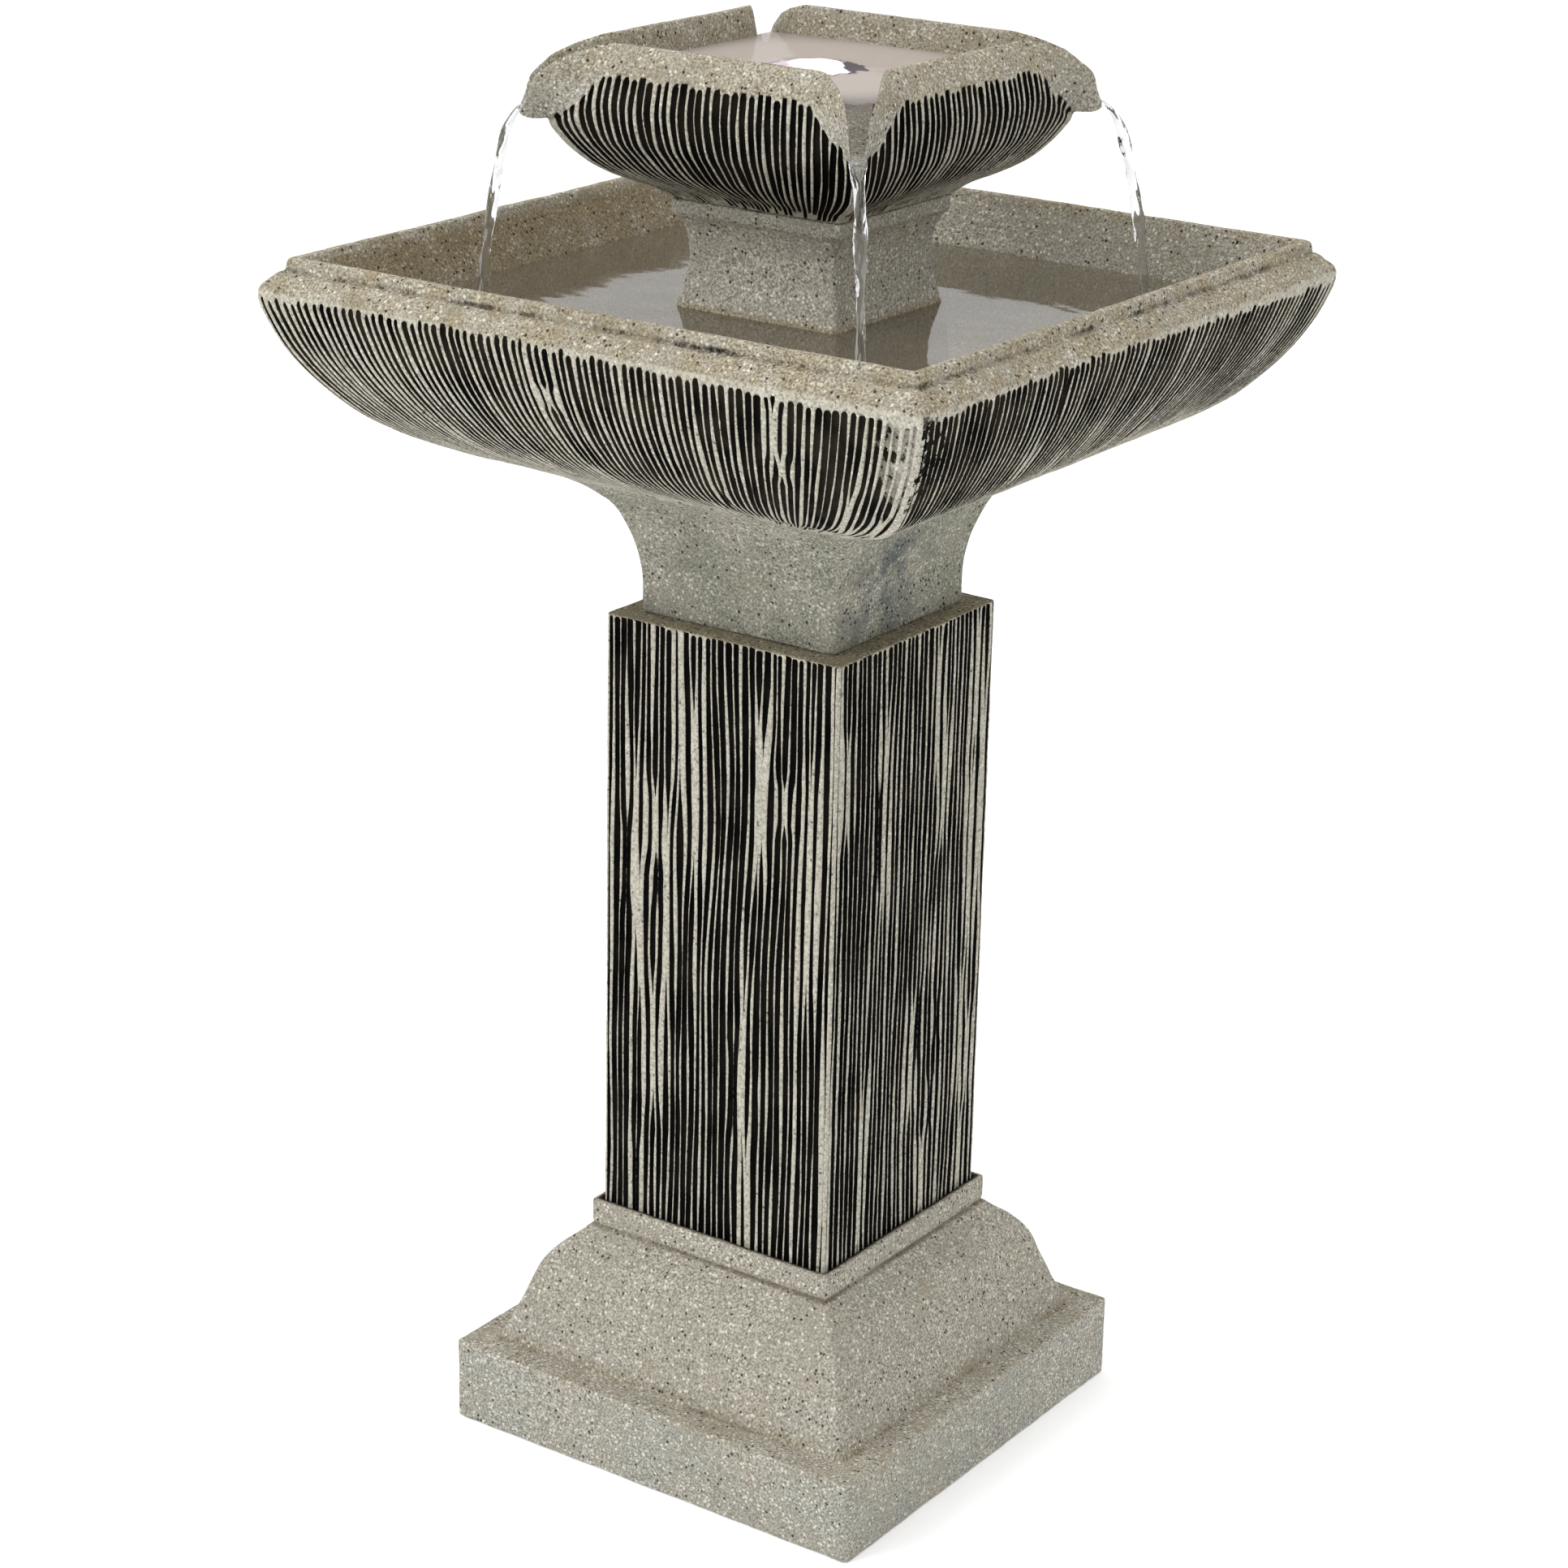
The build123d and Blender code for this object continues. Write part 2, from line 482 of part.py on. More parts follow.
def intake_foam():
    """Coarse foam pad behind the intake cover, clear of the dial's stub."""
    margin = 2 * (STRAINER_WALL + FOAM_GAP)
    width, height = 2 * PUMP_HALF_WIDTH - margin, PUMP_TOP - PUMP_BOTTOM - margin
    pad = Pos(PUMP_FACE + 1, 0, PUMP_AXIS) * Box(FOAM_DEPTH, width, height, align=FROM_BACK)
    return fillet(pad.edges().filter_by(Axis.X), CORNER_R - STRAINER_WALL)


def flow_dial():
    """Dial in front of the intake: it turns on its stub until its windows are shut off."""
    back = PUMP_FRONT + DIAL_GAP
    front = back + DIAL_THICKNESS
    body = axle(DIAL_R, back, front)
    for window in window_ring(back - 1, front + 1):
        body -= window
    lever = Box(DIAL_THICKNESS, LEVER_WIDTH, LEVER_HEIGHT, align=FROM_BACK_BELOW)
    body += Pos(back, 0, PUMP_AXIS + DIAL_R - 1) * lever
    return body + axle(DIAL_STUB_R, PUMP_FRONT - 4, back)


def suction_cups():
    """Four rubber cups, each with a stem in the foot plate."""
    profile = Plane.XZ * make_face(
        Polyline(
            (0, 2), (CUP_R - 1.2, 0), (CUP_R, 0), (CUP_STEM_R + 1, CUP_HEIGHT), (CUP_STEM_R, CUP_HEIGHT),
            (CUP_STEM_R, CUP_HEIGHT + FOOT_PLATE), (0, CUP_HEIGHT + FOOT_PLATE), close=True,
        )
    )
    cup = revolve(profile, Axis.Z)
    return Compound([Pos(x, y, BASIN_FLOOR) * cup for x, y in CUP_PLACES])


SUBPARTS = [
    base_pedestal, pillar, lower_basin, cord_stopper, riser_block, upper_bowl, bowl_nozzle, nozzle_seal,
    nozzle_nut, led_ring_housing, led_board, led_diodes, led_ring_lens, led_grommet, riser_tube,
    outlet_adapter, pump_housing, pump_cord_gland, volute_cover, impeller, rotor_magnet, impeller_shaft,
    shaft_bushes, strainer_cover, intake_foam, flow_dial, suction_cups,
]

os.makedirs("parts", exist_ok=True)
for make in SUBPARTS:
    export_step(make(), f"parts/{make.__name__}.step")
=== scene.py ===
"""Two-tier garden fountain: cast-stone meshes, water and a white studio around the CAD frame."""
from math import cos, pi, radians, sin, sqrt

import bmesh
import bpy
import numpy as np
from mathutils import Matrix, Vector


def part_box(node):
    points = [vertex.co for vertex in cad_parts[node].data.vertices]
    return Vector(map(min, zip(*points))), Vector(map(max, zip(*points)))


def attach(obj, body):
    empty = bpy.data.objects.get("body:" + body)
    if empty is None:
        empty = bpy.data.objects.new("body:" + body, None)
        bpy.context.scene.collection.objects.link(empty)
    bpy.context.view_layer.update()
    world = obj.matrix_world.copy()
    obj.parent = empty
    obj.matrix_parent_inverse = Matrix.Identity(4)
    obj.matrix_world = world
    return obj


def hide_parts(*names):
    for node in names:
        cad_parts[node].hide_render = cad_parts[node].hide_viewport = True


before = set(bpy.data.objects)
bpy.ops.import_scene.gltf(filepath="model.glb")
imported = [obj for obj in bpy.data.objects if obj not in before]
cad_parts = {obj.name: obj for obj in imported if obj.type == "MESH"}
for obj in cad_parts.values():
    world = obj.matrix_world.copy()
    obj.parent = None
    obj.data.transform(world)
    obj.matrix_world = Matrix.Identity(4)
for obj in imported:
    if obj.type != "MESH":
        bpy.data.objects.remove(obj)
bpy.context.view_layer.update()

MM = 0.001

# Bodies of the frame.
STAND, RISER, UPPER = "stand", "riser", "upper_tier"

# The four faces of a square casting: the outward direction and the way along it, front face first.
FACES = [((0, -1), (1, 0)), ((1, 0), (0, 1)), ((0, 1), (-1, 0)), ((-1, 0), (0, -1))]


def node_box(node):
    """The lowest and highest corners of a CAD node, in millimetres."""
    low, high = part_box(node)
    return np.array(low) / MM, np.array(high) / MM


# ---------------------------------------------------------------- noise and curves

# Odd multipliers that scramble a cell's whole-number place and the seed into a random value.
HASH_X, HASH_Y, HASH_Z, HASH_SEED, HASH_MIX = 374761393, 668265263, 1274126177, 974634777, 1103515245
HASH_MASK = 0xFFFFFFFF


def value_noise(points, size, seed):
    """Smooth noise from -1 to 1 at an (..., 3) array of points, with lumps about size wide."""
    scaled = np.asarray(points, float) / size
    cell = np.floor(scaled).astype(np.int64)
    part = scaled - cell
    part = part * part * (3 - 2 * part)
    total = np.zeros(scaled.shape[:-1])
    for dx in (0, 1):
        for dy in (0, 1):
            for dz in (0, 1):
                key = (cell[..., 0] + dx) * HASH_X + (cell[..., 1] + dy) * HASH_Y
                key = (key + (cell[..., 2] + dz) * HASH_Z + seed * HASH_SEED) & HASH_MASK
                key = ((key ^ (key >> 13)) * HASH_MIX) & HASH_MASK
                key = ((key ^ (key >> 16)) * HASH_Z) & HASH_MASK
                weight = np.ones(total.shape)
                for axis, side in enumerate((dx, dy, dz)):
                    weight = weight * (part[..., axis] if side else 1 - part[..., axis])
                total += weight * (key / HASH_MASK * 2 - 1)
    return total


def smoothstep(low, high, value):
    """0 at low and before it, 1 at high and beyond, and smooth between. low may be the larger."""
    part = np.clip((value - low) / (high - low), 0, 1)
    return part * part * (3 - 2 * part)


def cubic(before, here, after, beyond, part):
    """A smooth curve through four even places, at a part of the way between the middle two."""
    return 0.5 * (
        2 * here + (after - before) * part
        + (2 * before - 5 * here + 4 * after - beyond) * part ** 2
        + (3 * here - before - 3 * after + beyond) * part ** 3
    )


def wander(rng, count, length, spacing):
    """Smooth random curves from about -1 to 1: count of them along a 1-D array of places."""
    knots = int(np.ptp(length) / spacing) + 4
    values = rng.uniform(-1, 1, (count, knots))
    place = (length - length.min()) / spacing + 1
    cell = np.clip(np.floor(place).astype(int), 1, knots - 3)
    return cubic(*(values[:, cell + k] for k in (-1, 0, 1, 2)), place - cell)


# Spacing of the points that a curve is worked out with, in millimetres.
STEP = 0.5


def dense_curve(points):
    """Points every STEP or so along a smooth curve through the given ones, straight if there are two."""
    points = np.array(points, float)
    if len(points) == 2:
        count = max(2, int(np.hypot(*(points[1] - points[0])) / STEP) + 1)
        return points[0] + np.linspace(0, 1, count)[:, None] * (points[1] - points[0])
    ends = np.vstack([2 * points[0] - points[1], points, 2 * points[-1] - points[-2]])
    out = []
    for k in range(1, len(ends) - 2):
        count = max(2, int(np.hypot(*(ends[k + 1] - ends[k])) / STEP))
        part = np.linspace(0, 1, count, endpoint=k == len(ends) - 3)[:, None]
        out.append(cubic(*ends[k - 1:k + 3], part))
    return np.vstack(out)


def corners(*points):
    """Straight stretches from each point to the next."""
    return list(zip(points, points[1:]))


def profile(stretches, pitch=4.0, soft=1.2, closed=False, turn=0.3):
    """Stations (half-width, height) and their outward normals along joined stretches.

    Sharp corners are rounded by a blur of soft millimetres. Stations lie pitch apart, and closer in bends,
    where one comes at least every turn radians.
    """
    line = np.vstack([dense_curve(s) for s in stretches])
    keep = np.append(True, np.hypot(*np.diff(line, axis=0).T) > 1e-6)
    line = line[keep]
    reach = int(4 * soft / STEP)
    kernel = np.exp(-0.5 * (np.arange(-reach, reach + 1) * STEP / soft) ** 2)
    kernel /= kernel.sum()
    if closed:
        padded = np.vstack([line[-reach:], line, line[:reach]])
    else:
        padded = np.vstack([2 * line[0] - line[reach:0:-1], line, 2 * line[-1] - line[-2:-reach - 2:-1]])
    line = np.column_stack([np.convolve(padded[:, k], kernel, "valid") for k in (0, 1)])
    tangent = np.gradient(line, axis=0)
    step = np.hypot(*tangent.T)
    angle = np.unwrap(np.arctan2(tangent[:, 1], tangent[:, 0]))
    cost = np.cumsum(step / pitch + np.abs(np.gradient(angle)) / turn)
    cost -= cost[0]
    count = int(cost[-1]) + 2
    where = np.interp(np.linspace(0, cost[-1], count, endpoint=not closed), cost, np.arange(len(line)))
    stations = np.column_stack([np.interp(where, np.arange(len(line)), line[:, k]) for k in (0, 1)])
    normals = np.column_stack([np.interp(where, np.arange(len(line)), tangent[:, k]) for k in (1, 0)])
    normals[:, 1] *= -1
    return stations, normals / np.hypot(*normals.T)[:, None]


# ---------------------------------------------------------------- shells of rings

class Shell:
    """A mesh built from closed rings of points, in millimetres, with wash and painted-shade values at each
    point.

    groove is 1 where dark wash fills the surface and where shade is painted into some creases, reed is 1 on
    reeded faces and wet is 1 on wetted ones.
    """

    def __init__(self):
        self.points, self.faces, self.count = [], [], 0
        self.layers = {"groove": [], "reed": [], "wet": []}

    def rows(self, points, groove=0.0, reed=0.0, wet=0.0):
        """Adds (rows, columns, 3) points with the quads between rows, and returns their indices."""
        points = np.asarray(points, float)
        rows, columns = points.shape[:2]
        index = np.arange(self.count, self.count + rows * columns).reshape(rows, columns)
        self.count += rows * columns
        self.points.append(points.reshape(-1, 3))
        for label, values in (("groove", groove), ("reed", reed), ("wet", wet)):
            self.layers[label].append(np.broadcast_to(values, (rows, columns)).reshape(-1))
        for low, high in zip(index[:-1], index[1:]):
            quads = np.column_stack([low, np.roll(low, -1), np.roll(high, -1), high])
            self.faces.extend(quads.tolist())
        return index

    def close(self, index):
        """Joins the last row to the first."""
        last, first = index[-1], index[0]
        self.faces.extend(np.column_stack([last, np.roll(last, -1), np.roll(first, -1), first]).tolist())

    def zip(self, low, high):
        """Joins two rings of different counts that start at the same place, with triangles."""
        points = np.vstack(self.points)
        shares = []
        for ring in (low, high):
            loop = points[np.append(ring, ring[0])]
            angle = np.unwrap(np.arctan2(loop[:, 1], loop[:, 0]))
            shares.append((angle - angle[0]) / (2 * pi))
        i = j = 0
        while i < len(low) or j < len(high):
            if j == len(high) or (i < len(low) and shares[0][i + 1] <= shares[1][j + 1]):
                self.faces.append([int(low[i]), int(low[(i + 1) % len(low)]), int(high[j % len(high)])])
                i += 1
            else:
                self.faces.append([int(low[i % len(low)]), int(high[(j + 1) % len(high)]), int(high[j])])
                j += 1

    def cap(self, ring):
        """Closes a ring with a fan to its middle."""
        middle = np.vstack(self.points)[ring].mean(axis=0)
        self.points.append(middle[None])
        for values in self.layers.values():
            values.append(np.zeros(1))
        for a, b in zip(ring, np.roll(ring, -1)):
            self.faces.append([int(a), int(b), self.count])
        self.count += 1

    def piece(self, name, rough=0.0, seed=0, bend=None):
        """The Blender object, with hand-cast unevenness of about rough millimetres."""
        points = np.vstack(self.points)
        if bend:
            points = bend(points)
        mesh = bpy.data.meshes.new(name)
        mesh.from_pydata((points * MM).tolist(), [], self.faces)
        bm = bmesh.new()
        bm.from_mesh(mesh)
        bmesh.ops.recalc_face_normals(bm, faces=bm.faces)
        bm.to_mesh(mesh)
        bm.free()
        if rough:
            normals = np.empty(len(points) * 3)
            mesh.vertices.foreach_get("normal", normals)
            lift = value_noise(points, 34, seed) * 0.8 + value_noise(points, 11, seed + 1) * 0.5
            lift += value_noise(points, 4.5, seed + 2) * 0.3
            points = points + normals.reshape(-1, 3) * (lift * rough)[:, None]
            points[:, 2] = np.maximum(points[:, 2], 0.0)
            mesh.vertices.foreach_set("co", (points * MM).ravel())
        for label, values in self.layers.items():
            layer = mesh.attributes.new(label, "FLOAT", "POINT")
            layer.data.foreach_set("value", np.concatenate(values))
        mesh.polygons.foreach_set("use_smooth", [True] * len(mesh.polygons))
        mesh.update()
        obj = bpy.data.objects.new(name, mesh)
        bpy.context.scene.collection.objects.link(obj)
        return obj


def square_rings(stations, normals, along, lift, corner_r, arc=4, round_to=None):
    """Rings of rounded-square plan, one for each station.

    along holds the places on the straight part of each face from -1 to 1, as (rows, 4, columns) or one
    row for all. lift moves points along the outward normal. round_to blends a row's ring to a circle.
    """
    rows = len(stations)
    along = np.broadcast_to(along, (rows, 4, np.shape(along)[-1]))
    lift = np.broadcast_to(lift, along.shape)
    corner_r = np.broadcast_to(corner_r, rows)
    half, height = stations[:, 0], stations[:, 1]
    loops = []
    for k, (out, way) in enumerate(FACES):
        reach = (half - corner_r)[:, None]
        flat = along[:, k] * reach
        push = half[:, None] + lift[:, k] * normals[:, :1]
        x = out[0] * push + way[0] * flat
        y = out[1] * push + way[1] * flat
        z = height[:, None] + lift[:, k] * normals[:, 1:]
        loops.append(np.stack([x, y, z], axis=-1))
        turn = np.linspace(0, pi / 2, arc + 2)[1:-1]
        x = (out[0] + way[0]) * reach + corner_r[:, None] * (np.cos(turn) * out[0] + np.sin(turn) * way[0])
        y = (out[1] + way[1]) * reach + corner_r[:, None] * (np.cos(turn) * out[1] + np.sin(turn) * way[1])
        loops.append(np.stack([x, y, np.repeat(height[:, None], arc, 1)], axis=-1))
    ring = np.concatenate(loops, axis=1)
    if round_to is not None:
        share = np.broadcast_to(round_to, rows)[:, None, None]
        plan = ring[..., :2]
        circle = plan / np.linalg.norm(plan, axis=-1, keepdims=True) * half[:, None, None]
        ring[..., :2] = plan * (1 - share) + circle * share
    return ring


def even(columns):
    """Even places along all four faces."""
    return np.broadcast_to(np.linspace(-1, 1, columns), (1, 4, columns))


# ---------------------------------------------------------------- reeded faces

class Reeds:
    """The grooves of one ribbed casting: where they run, how deep they are and where they fade."""

    # Depth and place of the five columns across a groove, as shares of its depth and half-width.
    SHAPE = np.array([0.05, 0.86, 1.0, 0.86, 0.05])
    SPREAD = np.array([-1.0, -0.76, 0.0, 0.76, 1.0])
    # Columns for each groove: the five, and the middle of the ridge beside it.
    COLUMNS = 6
    # How far, in spacings, the neighbours close over a missing stretch, and lean together where they pinch.
    CLOSING, PINCHING = 0.26, 0.16
    # How deep the ridge between two pinched grooves is worn, and the widest half-width in spacings.
    WORN, WIDEST = 0.3, 0.47
    # Number of lines per face that neighbouring grooves drift along together.
    DRIFTS = 7
    # Lengths that a groove takes to deepen at its upper end and to fade out at its lower end, in millimetres.
    DEEPENING, FADING = (-0.6, 1.6), 14

    def __init__(self, count, length, seed, spacing, jitter, lone, starts, fades=None, width=0.4, sway=0.5,
                 droop=(0, 0, 0), swell=((1, 1),) * 4):
        """Draws count grooves on each face, at rows that lie length millimetres below their upper ends.

        spacing is the length of their bends. jitter and sway are how far, in spacings, each groove and whole
        groups of grooves wander. lone is the share of grooves with a missing stretch. starts and fades are
        where they begin, in millimetres, and end, as shares of the length. width is the half-width in
        spacings. droop lowers the upper ends, and swell scales each face's widths, from one side of a face
        to the other.
        """
        rng = np.random.default_rng(seed)
        rows = len(length)
        self.along = np.zeros((rows, 4, self.COLUMNS * count + 1))
        self.depth = np.zeros_like(self.along)
        number = (np.arange(count) + 0.5)[:, None]
        across = number[:, 0] / count * 2 - 1
        for face in range(4):
            begin = rng.uniform(*starts, count) + np.interp(across, np.linspace(-1, 1, len(droop)), droop)
            starting = smoothstep(*(begin[:, None] + part for part in self.DEEPENING), length[None])
            missing = self.spells(rng, count, length, int(count * lone), (0.04, 0.22))
            pinched = self.spells(rng, count - 1, length, int(count * lone * 0.3), (0.03, 0.09))
            depth = starting * (1 - missing ** 3)
            if fades is not None:
                end = rng.uniform(*fades, count)[:, None] * length.max()
                depth = depth * (1 - smoothstep(end - self.FADING, end, length[None]))
            shift = jitter * wander(rng, count, length, spacing)
            shift[1:] -= self.CLOSING * missing[:-1]
            shift[:-1] += self.CLOSING * missing[1:]
            shift[:-1] += self.PINCHING * pinched
            shift[1:] -= self.PINCHING * pinched
            drift = wander(rng, self.DRIFTS, length, spacing * 1.5)
            cells = self.DRIFTS - 1
            cell = np.minimum((number[:, 0] / count * cells).astype(int), cells - 1)
            mix = number / count * cells - cell[:, None]
            drift = drift[cell] * (1 - mix) + drift[cell + 1] * mix
            place = number + shift + sway * drift * (1 - across[:, None] ** 2)
            centre = np.maximum.accumulate((place - 0.3) / (count - 0.6) * 2 - 1, axis=0)
            room = np.diff(centre, axis=0)
            near = np.minimum(np.vstack([room[:1], room]), np.vstack([room, room[-1:]]))
            half = near * width * (0.5 + 0.5 * starting) * (0.12 + 0.88 * (1 - missing))
            uneven = 1 + 0.18 * wander(rng, count, length, spacing * 0.5)
            half *= uneven * rng.uniform(0.84, 1.14, (count, 1))
            half *= np.interp(across, np.linspace(-1, 1, len(swell[face])), swell[face])[:, None]
            half = np.minimum.reduce([half, near * self.WIDEST, (centre + 1) * 0.9, (1 - centre) * 0.9])
            spread = centre[..., None] + half[..., None] * self.SPREAD
            self.along[:, face, 0], self.along[:, face, -1] = -1, 1
            for groove in range(count):
                first = 1 + self.COLUMNS * groove
                self.along[:, face, first:first + 5] = spread[groove]
                self.depth[:, face, first:first + 5] = depth[groove][:, None] * self.SHAPE
            for ridge in range(count - 1):
                middle = self.COLUMNS * (ridge + 1)
                self.along[:, face, middle] = (spread[ridge, :, 4] + spread[ridge + 1, :, 0]) / 2
                worn = self.WORN * pinched[ridge] * np.minimum(depth[ridge], depth[ridge + 1])
                for column in (middle - 1, middle, middle + 1):
                    self.depth[:, face, column] = np.maximum(self.depth[:, face, column], worn)

    @staticmethod
    def spells(rng, count, length, spells, span):
        """Values that rise to 1 along random stretches of random lines."""
        out = np.zeros((count, len(length)))
        for _ in range(spells):
            line, middle = rng.integers(1, count - 1), rng.uniform(0.0, 1.0) * length.max()
            reach = rng.uniform(*span) * length.max()
            out[line] = np.maximum(out[line], smoothstep(1.3, 0.55, np.abs(length - middle) / reach))
        return out

    def ring_values(self, arc):
        """The depth at each point of a ring, with zero round the corners."""
        rows = self.depth.shape[0]
        loops = []
        for face in range(4):
            loops += [self.depth[:, face], np.zeros((rows, arc))]
        return np.concatenate(loops, axis=1)


# ---------------------------------------------------------------- stone castings

def make_base():
    """Hollow foot with plinth, ogee shoulder and collar."""
    half, _, top = node_box("base_pedestal")[1]
    pillar_half = node_box("pillar")[1][0]
    step, shoulder, wall, deck, hole = 56.7, 141.0, 14.0, 150.0, 50.0
    foot, collar, joint = 140.5, 96.3, 139.9
    stations, normals = profile([
        *corners((half - wall, 0), (half, 0), (half, step), (foot + 1.2, step - 0.4), (foot - 0.6, step + 5)),
        [(foot - 0.6, step + 5), (134.4, 75), (127, 96), (121.1, 113), (112.6, 125), (102, 134.6),
         (97.6, 139)],
        *corners((97.6, 139), (95.2, joint), (collar, shoulder + 1.8), (collar, top),
                 (pillar_half + 1.4, top), (pillar_half + 0.6, deck), (hole, deck), (hole, deck - wall),
                 (collar - wall, deck - wall), (foot - 1.5 * wall, step - wall), (half - wall, step - wall),
                 (half - wall, 0)),
    ], pitch=4.2, soft=0.8, closed=True)
    shell = Shell()
    corner = np.interp(stations[:, 1], [0, step, step + 6, shoulder, top], [4.2, 4.2, 2.4, 1.8, 2.2])
    rings = square_rings(stations, normals, even(64), 0, corner, arc=3)
    in_joint = smoothstep(95.3, 93.2, stations[:, 0]) * smoothstep(deck, deck + 3, stations[:, 1])
    # Painted shade: a dark line in the crease under the collar, and a patchy one where the shoulder meets the
    # plinth. in_joint is the dark joint round the pillar's foot.
    collar_crease_shade = np.exp(-((stations[:, 1] - 140) / 1.6) ** 2) * (stations[:, 0] > 94)
    foot_crease_shade = np.exp(-(np.hypot(stations[:, 0] - 141.8, stations[:, 1] - step) / 2.2) ** 2)
    ragged = value_noise(rings, 9, 12) * 0.5 + value_noise(rings, 3.4, 13) * 0.3
    patchy = value_noise(rings, 30, 14) * 0.6 + value_noise(rings, 8, 15) * 0.4
    wash = in_joint[:, None] * (1.1 + ragged) + collar_crease_shade[:, None] * (0.5 + 0.3 * patchy)
    wash = wash + foot_crease_shade[:, None] * (0.24 + 0.24 * patchy)
    index = shell.rows(rings, np.clip(wash, 0, 1))
    shell.close(index)
    base = shell.piece("base_pedestal_cast", rough=0.45, seed=11)
    notch, beyond = 18, 20
    carve(base, [cutter("notch", (-notch, half - 3 * wall, -beyond), (notch, half + beyond, notch))])
    return base


def cutter(name, low, high):
    """A plain block that a casting is carved with."""
    mesh = bpy.data.meshes.new(name)
    bm = bmesh.new()
    low, high = np.array(low) * MM, np.array(high) * MM
    bmesh.ops.create_cube(bm, size=1)
    bmesh.ops.scale(bm, vec=high - low, verts=bm.verts)
    bmesh.ops.translate(bm, vec=(low + high) / 2, verts=bm.verts)
    bm.to_mesh(mesh)
    bm.free()
    obj = bpy.data.objects.new(name, mesh)
    bpy.context.scene.collection.objects.link(obj)
    return obj


def carve(obj, tools):
    """Cuts the tools out of a piece and removes them."""
    for tool in tools:
        cut = obj.modifiers.new("cut", "BOOLEAN")
        cut.operation, cut.solver, cut.object = "DIFFERENCE", "EXACT", tool
    bpy.context.view_layer.update()
    evaluated = obj.evaluated_get(bpy.context.evaluated_depsgraph_get())
    mesh = bpy.data.meshes.new_from_object(evaluated)
    obj.modifiers.clear()
    obj.data = mesh
    for tool in tools:
        bpy.data.objects.remove(tool)


def make_pillar():
    """Reeded hollow post."""
    low, high = node_box("pillar")
    half, bottom, top = high[0], low[2], high[2]
    wall, hole, reeds, depth, arc = 14.0, 50.0, 34, 1.35, 3
    # The reeding starts a little below the top edge, with closer rows where its grooves begin.
    start, fine_rows, row = 1.5, 9, 6.0
    last = top - bottom - start
    length = np.concatenate([np.arange(0, fine_rows, start), np.arange(fine_rows, last, row), [last]])
    pattern = Reeds(reeds, length, seed=5, spacing=75, jitter=0.17, lone=0.42, starts=(-2.6, 0.6), width=0.45,
                    sway=0.55)
    stations = np.column_stack([np.full(len(length), half), top - start - length])
    normals = np.tile([1.0, 0.0], (len(length), 1))
    face = square_rings(stations, normals, pattern.along, -depth * pattern.depth, 2.0, arc)
    shell = Shell()
    ribbed = shell.rows(face[::-1], pattern.ring_values(arc)[::-1], 1.0)
    rim, rim_n = profile(corners((half, top - start), (half, top), (hole, top)), pitch=7, soft=0.7)
    upper = shell.rows(square_rings(rim[1:], rim_n[1:], even(60), 0, 2.2, arc))
    inside, inside_n = profile(corners(
        (hole, top), (hole, top - wall), (half - wall, top - wall), (half - wall, bottom), (half, bottom),
    ), pitch=14, soft=0.8)
    lower = shell.rows(square_rings(inside[1:-1], inside_n[1:-1], even(40), 0, 3.0, arc))
    shell.zip(ribbed[-1], upper[0])
    shell.zip(upper[-1], lower[0])
    shell.zip(lower[-1], ribbed[0])
    return shell.piece("pillar_cast", rough=0.34, seed=21)


